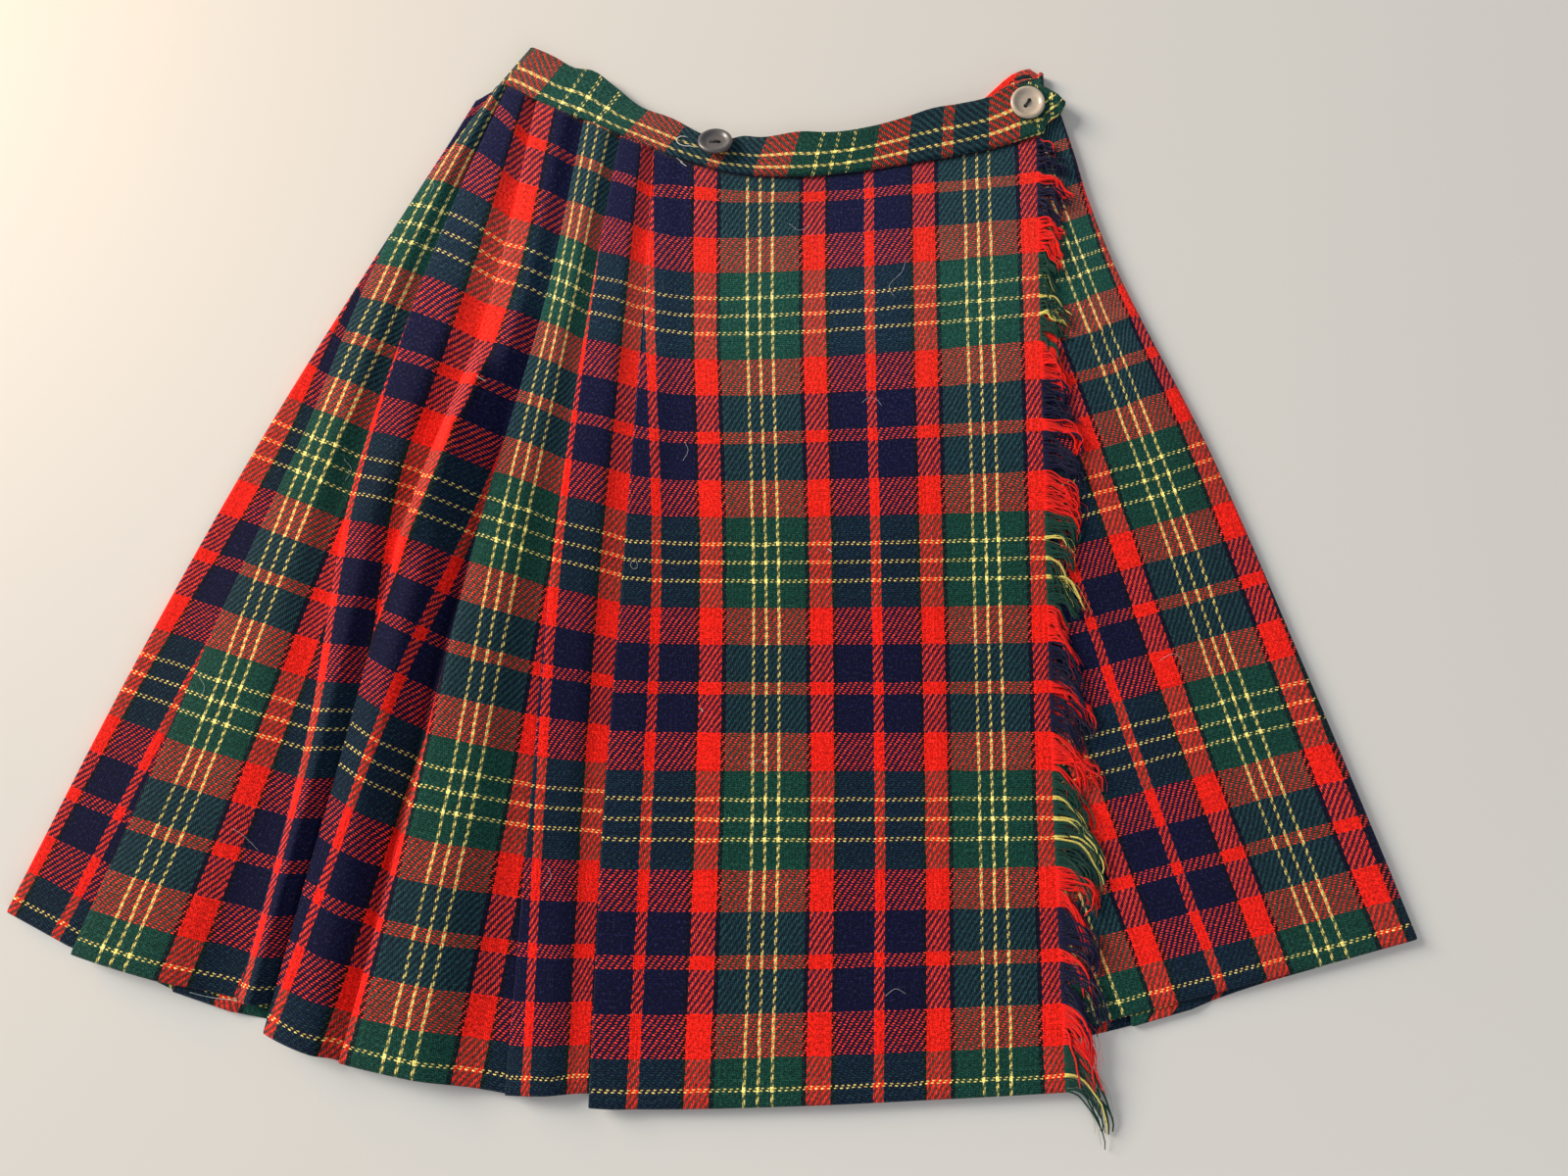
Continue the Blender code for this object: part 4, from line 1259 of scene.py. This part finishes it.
def strand_paths(count, steps, spread, level):
    """Strands from the apron's edge: out to the right by a sine, and down by its way's square.

    Neighbours share the swing of their lock and are drawn to its middle, and each has a wave of its
    own. Gives the paths, and the share of the way down the edge where each has its root."""
    share = (np.arange(count) + 0.5) / count
    root = np.column_stack([np.interp(share, DOWN, axis) for axis in fold_line("apron_edge").T])
    in_locks = share * LOCKS + 0.3 * np.sin(share * 57)
    lock = np.floor(in_locks)
    lock_swing = np.random.default_rng(LOCK_SEED).normal(0, 1, (LOCKS + 2, 4))[lock.astype(int)]
    lock_swing *= np.clip((1 - share) / 0.08, 0.15, 1)[:, None]
    own_swing = chance.normal(0, 1, (count, 4))
    reach = STRAND_REACH * (1 + 0.20 * lock_swing[:, 0] + spread * own_swing[:, 0])
    reach *= 0.72 + 0.4 * share
    droop = STRAND_DROOP * (1 + 0.22 * lock_swing[:, 1] + spread * own_swing[:, 1])
    droop = np.minimum(droop * (0.7 + 1.2 * share), DROOP_MOST)
    gather = (lock + 0.5 - in_locks) * SKIRT_LENGTH / LOCKS * LOCK_GATHER
    s = np.linspace(0, 1, steps)[None]
    turn = 1.3 + 0.35 * lock_swing[:, 2:3] + 0.15 * own_swing[:, 3:4]
    x = root[:, :1] - 0.6 * MM + reach[:, None] * np.sin(s * turn)
    y = root[:, 1:] - droop[:, None] * s**2 - gather[:, None] * s**1.5
    phase = lock_swing[:, 3:4] * 3 + own_swing[:, 2:3] * 0.9
    wave = np.sin(s * (9 + 2 * lock_swing[:, :1]) + phase) - np.sin(phase)
    wave = wave * s**0.5 * (1 - 0.45 * share[:, None]) * WAVE
    kink = np.sin(s * (16 + 3 * own_swing[:, 1:2]) + own_swing[:, 3:4] * 3) * s**0.5 * KINK
    drop = np.clip((share - 0.93) / 0.06, 0, 1)[:, None] * (level - 1.6 * MM)
    z = level + (1.2 + 0.7 * own_swing[:, 1:2]) * MM * np.sin(s * 2.6) - drop * s**1.5
    z = np.maximum(z + wave * 0.6, TABLE_GAP)
    return np.stack([x + wave * 0.5 + kink, y + wave - kink, z], axis=-1), share


def fringe():
    """Thick strands that thin out with the cube of the way, and fine loose fibres among them."""
    edge_down = repeats_down("apron_edge")
    paths, share = strand_paths(STRANDS, STRAND_STEPS, STRAND_SPREAD, FRONT_MID + 0.4 * MM)
    girth = STRAND_GIRTH * (1 + 0.16 * chance.normal(0, 1, (STRANDS, 1)))
    thin = 1 - 0.45 * np.linspace(0, 1, STRAND_STEPS) ** 3
    girth = np.clip(girth, GIRTH_LEAST, GIRTH_MOST) * thin
    rows = np.interp(share, DOWN, edge_down)
    strands = tube_piece("fringe_strands", paths, girth, STRAND_SIDES, YARN, rows)
    paths, share = strand_paths(FIBRES, FIBRE_STEPS, FIBRE_SPREAD, FRONT_MID + 0.8 * MM)
    girth = np.full((FIBRES, FIBRE_STEPS), FIBRE_GIRTH)
    rows = np.interp(share, DOWN, edge_down)
    return strands, tube_piece("fringe_fibres", paths, girth, FIBRE_SIDES, YARN, rows)


fringe_strands, fringe_fibres = fringe()
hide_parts("fringe")

# %% [markdown]
# ## Buttons
#
# Both buttons are turned: a profile from the middle of the dish, over the rim and down the side,
# spun round. The two holes are then cut through with a Boolean, which is applied. A Bevel could
# soften their edges, but at this size it wouldn't show. Dark thread crosses between the holes.

# %% A spun profile, and its place on the cloth
BUTTON_SIDES = 96
BUTTON_PROFILE = (
    (0.0, 1.0), (4.6, 1.05), (6.3, 1.25), (7.2, 1.75), (7.9, 2.35), (8.6, 2.8), (9.4, 2.98),
    (10.1, 2.75), (10.6, 2.3), (10.8, 1.7), (10.6, 0.9), (9.8, 0.35), (8.8, 0.1), (0.0, 0.1),
)
HOLE_PROFILE = ((0, -3), (1.3, -3), (1.3, 6), (0, 6))
HOLE_SIDES = 24
HOLE_FROM_MIDDLE = 2.4 * MM


def spun(profile, sides):
    """Points and faces of a profile of (radius, height) in mm spun round Z, from axis to axis."""
    angle = np.arange(sides) * 2 * math.pi / sides
    rim = np.array(profile[1:-1]) * MM
    x, y = rim[:, :1] * np.cos(angle), rim[:, :1] * np.sin(angle)
    ring = np.stack([x, y, np.broadcast_to(rim[:, 1:], x.shape)], axis=-1).reshape(-1, 3)
    index = np.arange(len(ring)).reshape(len(rim), sides)
    after = np.roll(index, -1, axis=1)
    quads = np.stack([index[:-1], index[1:], after[1:], after[:-1]], axis=-1).reshape(-1, 4)
    return ring, quads.tolist() + [index[0].tolist(), index[-1, ::-1].tolist()]


def turned_matrix(place, height, turn, tilt):
    """Rotation by the tilt about X, then the turn about Z, then the move to the place."""
    a, b = math.radians(-tilt), math.radians(turn)
    tip = np.array([[1, 0, 0], [0, math.cos(a), -math.sin(a)], [0, math.sin(a), math.cos(a)]])
    spin = np.array([[math.cos(b), -math.sin(b), 0], [math.sin(b), math.cos(b), 0], [0, 0, 1]])
    return spin @ tip, np.array([*(place - CENTRE), height])


print(f"the buttons are {2 * max(radius for radius, _ in BUTTON_PROFILE):.1f} mm across")


# %% A button
def button(name, place, height, turn, tilt, material):
    """The spun button with its two holes, its points moved to their place on the cloth."""
    made = new_object(name, *spun(BUTTON_PROFILE, BUTTON_SIDES), material)
    for side in (-1, 1):
        post, faces = spun(HOLE_PROFILE, HOLE_SIDES)
        post = post + [side * HOLE_FROM_MIDDLE, 0, 0]
        cut = made.modifiers.new("hole", "BOOLEAN")
        cut.operation = "DIFFERENCE"
        cut.object = new_object("hole", post, [face[::-1] for face in faces])
    view = bpy.context.evaluated_depsgraph_get()
    mesh = bpy.data.meshes.new_from_object(made.evaluated_get(view))
    for cutter in [cut.object for cut in made.modifiers]:
        bpy.data.objects.remove(cutter, do_unlink=True)
    made.modifiers.clear()
    made.data = mesh
    matrix, origin = turned_matrix(place, height, turn, tilt)
    local = np.zeros(len(mesh.vertices) * 3)
    mesh.vertices.foreach_get("co", local)
    mesh.vertices.foreach_set("co", (local.reshape(-1, 3) @ matrix.T + origin).ravel())
    mesh.shade_smooth()
    mesh.set_sharp_from_angle(angle=math.radians(50))
    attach(made, "root")
    print(f"{name}: {len(mesh.vertices)} points")
    return made


# %% Horn-like plastic, and the two buttons
def horn(name, dark, light, roughness):
    """Horn-like plastic: clouds and fine streaks between two colours, with small scratches."""
    material, tree, shader = new_material(name, {
        "Roughness": roughness, "Coat Weight": 0.25, "Coat Roughness": 0.25,
    })
    place = tree.nodes.new("ShaderNodeTexCoord")
    spread = tree.nodes.new("ShaderNodeMapping")
    spread.inputs["Scale"].default_value = (1.0, 3.5, 1.0)
    join(tree, place.outputs["Object"], spread.inputs["Vector"])
    streak = noise(tree, spread.outputs[0], 260, 5, 0.6)
    cloud = noise(tree, place.outputs["Object"], 90, 2)
    share = scaled(tree, streak, 0.7, scaled(tree, cloud, 0.8, -0.25))
    join(tree, mix(tree, share, (*dark, 1), (*light, 1)), shader.inputs["Base Color"])
    scratch = noise(tree, spread.outputs[0], 1400, 3)
    join(tree, scaled(tree, scratch, 0.25, roughness - 0.12), shader.inputs["Roughness"])
    return material


TAB_BUTTON = np.array([193, 288.2]) * MM
BAND_BUTTON = np.array([-2, 262]) * MM
TAUPE = horn("taupe horn", (0.36, 0.29, 0.22), (0.56, 0.47, 0.37), 0.34)
GREY = horn("smoky horn", (0.045, 0.042, 0.045), (0.14, 0.13, 0.13), 0.36)
BAND_TOP = BAND_FRONT + BAND_CLOTH / 2
BUTTONS = (
    ("tab_button", TAB_BUTTON, BAND_TOP + 0.3 * MM, 56, 0, TAUPE, "button_tab", "button_taupe"),
    ("band_button", BAND_BUTTON, 9.5 * MM, 0, 22, GREY, "button_band", "button_grey"),
)
for name, place, height, turn, tilt, material, node, slot in BUTTONS:
    made = button(name, place, height, turn, tilt, material)
    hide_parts(node)

# %% [markdown]
# ## Sewing thread and lint
#
# Thread holds each button, a spare end is left beside the band's button, and a few pale hairs and
# specks cling to the wool. They are small tubes along short curves.

# %% Thread
THREAD_SIDES = 5


def thread_material(name, colour):
    """Cotton thread, mottled between its colour and a darker one."""
    material, tree, shader = new_material(name, {"Roughness": 0.7})
    twist = noise(tree, pattern_numbers(tree), 60, 2)
    dark = tuple(0.55 * part for part in colour)
    join(tree, mix(tree, twist, (*dark, 1), (*colour, 1)), shader.inputs["Base Color"])
    return material


def curve_path(points, steps=12):
    """A smooth path of so many steps through a few (x, y, z) points given in mm."""
    rows = [(number, *point) for number, point in enumerate(points)]
    return smooth_curve(rows, np.linspace(0, len(points) - 1, steps)) * MM


def loose_threads(name, paths, radius, colour):
    """One piece of several short threads of one colour."""
    lines = np.stack([curve_path(path) for path in paths])
    radii = np.full(lines.shape[:2], radius)
    material, numbers = thread_material(name, colour), np.arange(len(paths)) * 1.0
    piece = tube_piece(name, lines, radii, THREAD_SIDES, material, numbers)


# Across the middle of a button, x and z in mm: up through one hole, over and down the other
STITCH = ((-2.7, -1.2), (-2.5, 0.9), (-1.3, 1.55), (0, 1.7), (1.3, 1.55), (2.5, 0.9), (2.7, -1.2))


def button_threads():
    """Dark thread through both holes of each button, three times side by side."""
    lines = []
    for _, place, height, turn, tilt, _, _, _ in BUTTONS:
        matrix, origin = turned_matrix(place, height, turn, tilt)
        for offset in (-0.5, 0.0, 0.5):
            rows = np.array([(x, offset, z) for x, z in STITCH])
            lines.append(rows @ matrix.T + (origin + [*CENTRE, 0]) / MM)
    return lines


loose_threads("button_thread", button_threads(), 0.36 * MM, (0.014, 0.014, 0.02))

# %% Where the spare thread, the hairs and the specks lie
SPARE_THREAD = (
    (-14.6, 259.6), (-17.6, 260.6), (-20.8, 260.4), (-24.9, 261.9), (-26.3, 265.2), (-23.1, 267.4),
    (-19.5, 266.7),
)

# Each lint hair as the places it passes over, in mm; the short ones are specks and ends of yarn
HAIRS = (
    ((115.8, 186.6), (113.2, 178.5), (107.2, 172.8), (105.3, 168.5), (108.3, 162.8)),
    ((-274.4, -156.9), (-269.1, -160.2), (-263.7, -165.7), (-260.1, -169.6)),
    ((-46.6, -0.3), (-49.4, -1.4), (-50.0, -4.4), (-47.6, -6.1), (-45.9, -4.4), (-46.9, -1.2)),
    ((88, 96), (92, 99), (97, 98), (100, 94)),
    ((-20, 60), (-17, 66), (-19, 72)),
    ((150, -40), (154, -44), (153, -50), (158, -54)),
    ((20, -120), (27, -118), (31, -123)),
    ((160, 118), (166, 121), (171, 118)),
    ((-96, -190), (-92, -184), (-94, -178)),
    ((-300, -70), (-296, -76), (-298, -83)),
    ((262, -60), (270, -56), (276, -60)),
    ((44, 210), (50, 206), (57, 209)),
    ((-180, 240), (-176, 234), (-178, 228)),
    ((-222, 60), (-218, 54), (-221, 47)),
    ((98, -250), (104, -246), (110, -249)),
)
SPECKS = (
    ((66.9, 6.2), (68.0, 5.6), (69.2, 4.4)),
    ((207.5, 92.7), (208.1, 92.1), (208.9, 91.2)),
    ((-143.0, 109.8), (-141.2, 108.6), (-138.2, 107.3)),
    ((-26.0, 252.9), (-24.1, 251.6), (-22.3, 250.3)),
    ((-23.5, 250.3), (-21.7, 249.0), (-19.9, 247.7)),
    ((-8, -88), (-7.2, -88.8), (-6.6, -90)),
)
HEM_THREAD = (
    ((-296.9, -248.5), (-285.6, -251.2), (-271.5, -252.8), (-263.1, -253.4), (-254.7, -254.5)),
)


print(f"{len(HAIRS)} hairs and {len(SPECKS)} specks to lay on the cloth")


# %% Threads and lint laid on the cloth
WHITE = (0.75, 0.76, 0.78)
PALE_GREEN = (0.55, 0.66, 0.64)
CREAM = (0.85, 0.84, 0.80)


def surface_height(x, y):
    """The highest z of the cloth under a place, in mm, found by a ray straight down."""
    view = bpy.context.evaluated_depsgraph_get()
    start = (x * MM - CENTRE[0], y * MM - CENTRE[1], 100 * MM)
    heights = [0.0]
    for piece in (pleats, apron, right_front, pleated_back, band):
        met, place, _, _ = piece.evaluated_get(view).ray_cast(start, (0, 0, -1))
        if met:
            heights.append(place[2] / MM)
    return max(heights)


def laid(paths, gap):
    """The paths with their heights, each a small gap in mm above the cloth."""
    return [[(x, y, surface_height(x, y) + gap) for x, y in path] for path in paths]


loose_threads("spare_thread", laid([SPARE_THREAD], 0.5), 0.3 * MM, WHITE)
loose_threads("hem_thread", laid(HEM_THREAD, 0.25), 0.17 * MM, PALE_GREEN)
loose_threads("lint_hairs", laid(HAIRS, 0.25), 0.075 * MM, WHITE)
loose_threads("lint_specks", laid(SPECKS, 0.3), 0.24 * MM, CREAM)

# %% [markdown]
# ## Table, light and camera
#
# The skirt lies on a plain pale table. A large soft light stands at the upper left, where the
# picture is brightest, with a small warm one low over the table in front of it, and a weak fill
# comes from the right. The camera looks down from just in front of the skirt, tilted by seven and a
# half degrees.

# %% Table
TABLE_COLOUR = (0.665, 0.65, 0.615, 1)
TABLE_HALF = 3.0


def table_top():
    """A plain pale surface, well past the picture's edges."""
    corners = [(-1, -1, 0), (1, -1, 0), (1, 1, 0), (-1, 1, 0)]
    material, _, _ = new_material("pale table", {"Roughness": 0.6, "Base Color": TABLE_COLOUR})
    made = new_object("table_top", np.array(corners) * TABLE_HALF, [[0, 1, 2, 3]], material)


table_top()
print(f"the table reaches {TABLE_HALF} m each way")

# %% Lights
# Name, place, what it is pointed at, size, power and colour
LIGHTS = (
    ("window", (-4.6, 2.4, 2.5), (0, 0, 0), 2.4, 455, (1.0, 0.975, 0.91)),
    ("warm lamp", (-1.1, 0.75, 0.35), (-0.45, 0.25, 0), 0.4, 6, (1.0, 0.45, 0.0)),
    ("fill", (1.0, -1.8, 1.3), (0.1, -0.2, 0), 1.4, 13, (0.98, 0.97, 0.96)),
)
ROOM_COLOUR = (0.9, 0.93, 1.0, 1)
ROOM_STRENGTH = 0.34


def area_light(name, place, aim, size, power, colour):
    """A square soft light at a place, pointed at an aim."""
    data = bpy.data.lights.new(name, "AREA")
    data.size = size
    data.energy = power
    data.color = colour
    lamp = bpy.data.objects.new(name, data)
    bpy.context.collection.objects.link(lamp)
    lamp.location = place
    x, y, z = np.array(place) - np.array(aim)
    lamp.rotation_euler = (math.atan2(math.hypot(x, y), z), 0, math.atan2(x, -y))


for light in LIGHTS:
    area_light(*light)
world = bpy.data.worlds.new("room")
bpy.context.scene.world = world
world.use_nodes = True
background = world.node_tree.nodes["Background"]
background.inputs["Color"].default_value = ROOM_COLOUR
background.inputs["Strength"].default_value = ROOM_STRENGTH
print(f"{len(LIGHTS)} lights set")

# %% Camera
CAMERA_AIM = np.array([0.0418, -0.0158, 0.0])
CAMERA_DISTANCE = 0.678
CAMERA_TILT = math.radians(7.5)
CAMERA_FOCAL_PIXELS = 1155
PICTURE_WIDTH = 1600
SENSOR = 36.0
lens = bpy.data.cameras.new("camera")
lens.sensor_width = SENSOR
lens.lens = SENSOR * CAMERA_FOCAL_PIXELS / PICTURE_WIDTH
camera = bpy.data.objects.new("camera", lens)
bpy.context.collection.objects.link(camera)
backward = np.array([0, -math.sin(CAMERA_TILT), math.cos(CAMERA_TILT)])
camera.location = CAMERA_AIM + CAMERA_DISTANCE * backward
camera.rotation_euler = (CAMERA_TILT, 0, 0)
bpy.context.scene.camera = camera
bpy.context.scene.view_settings.view_transform = "Standard"
print(f"camera with a {lens.lens:.1f} mm lens")
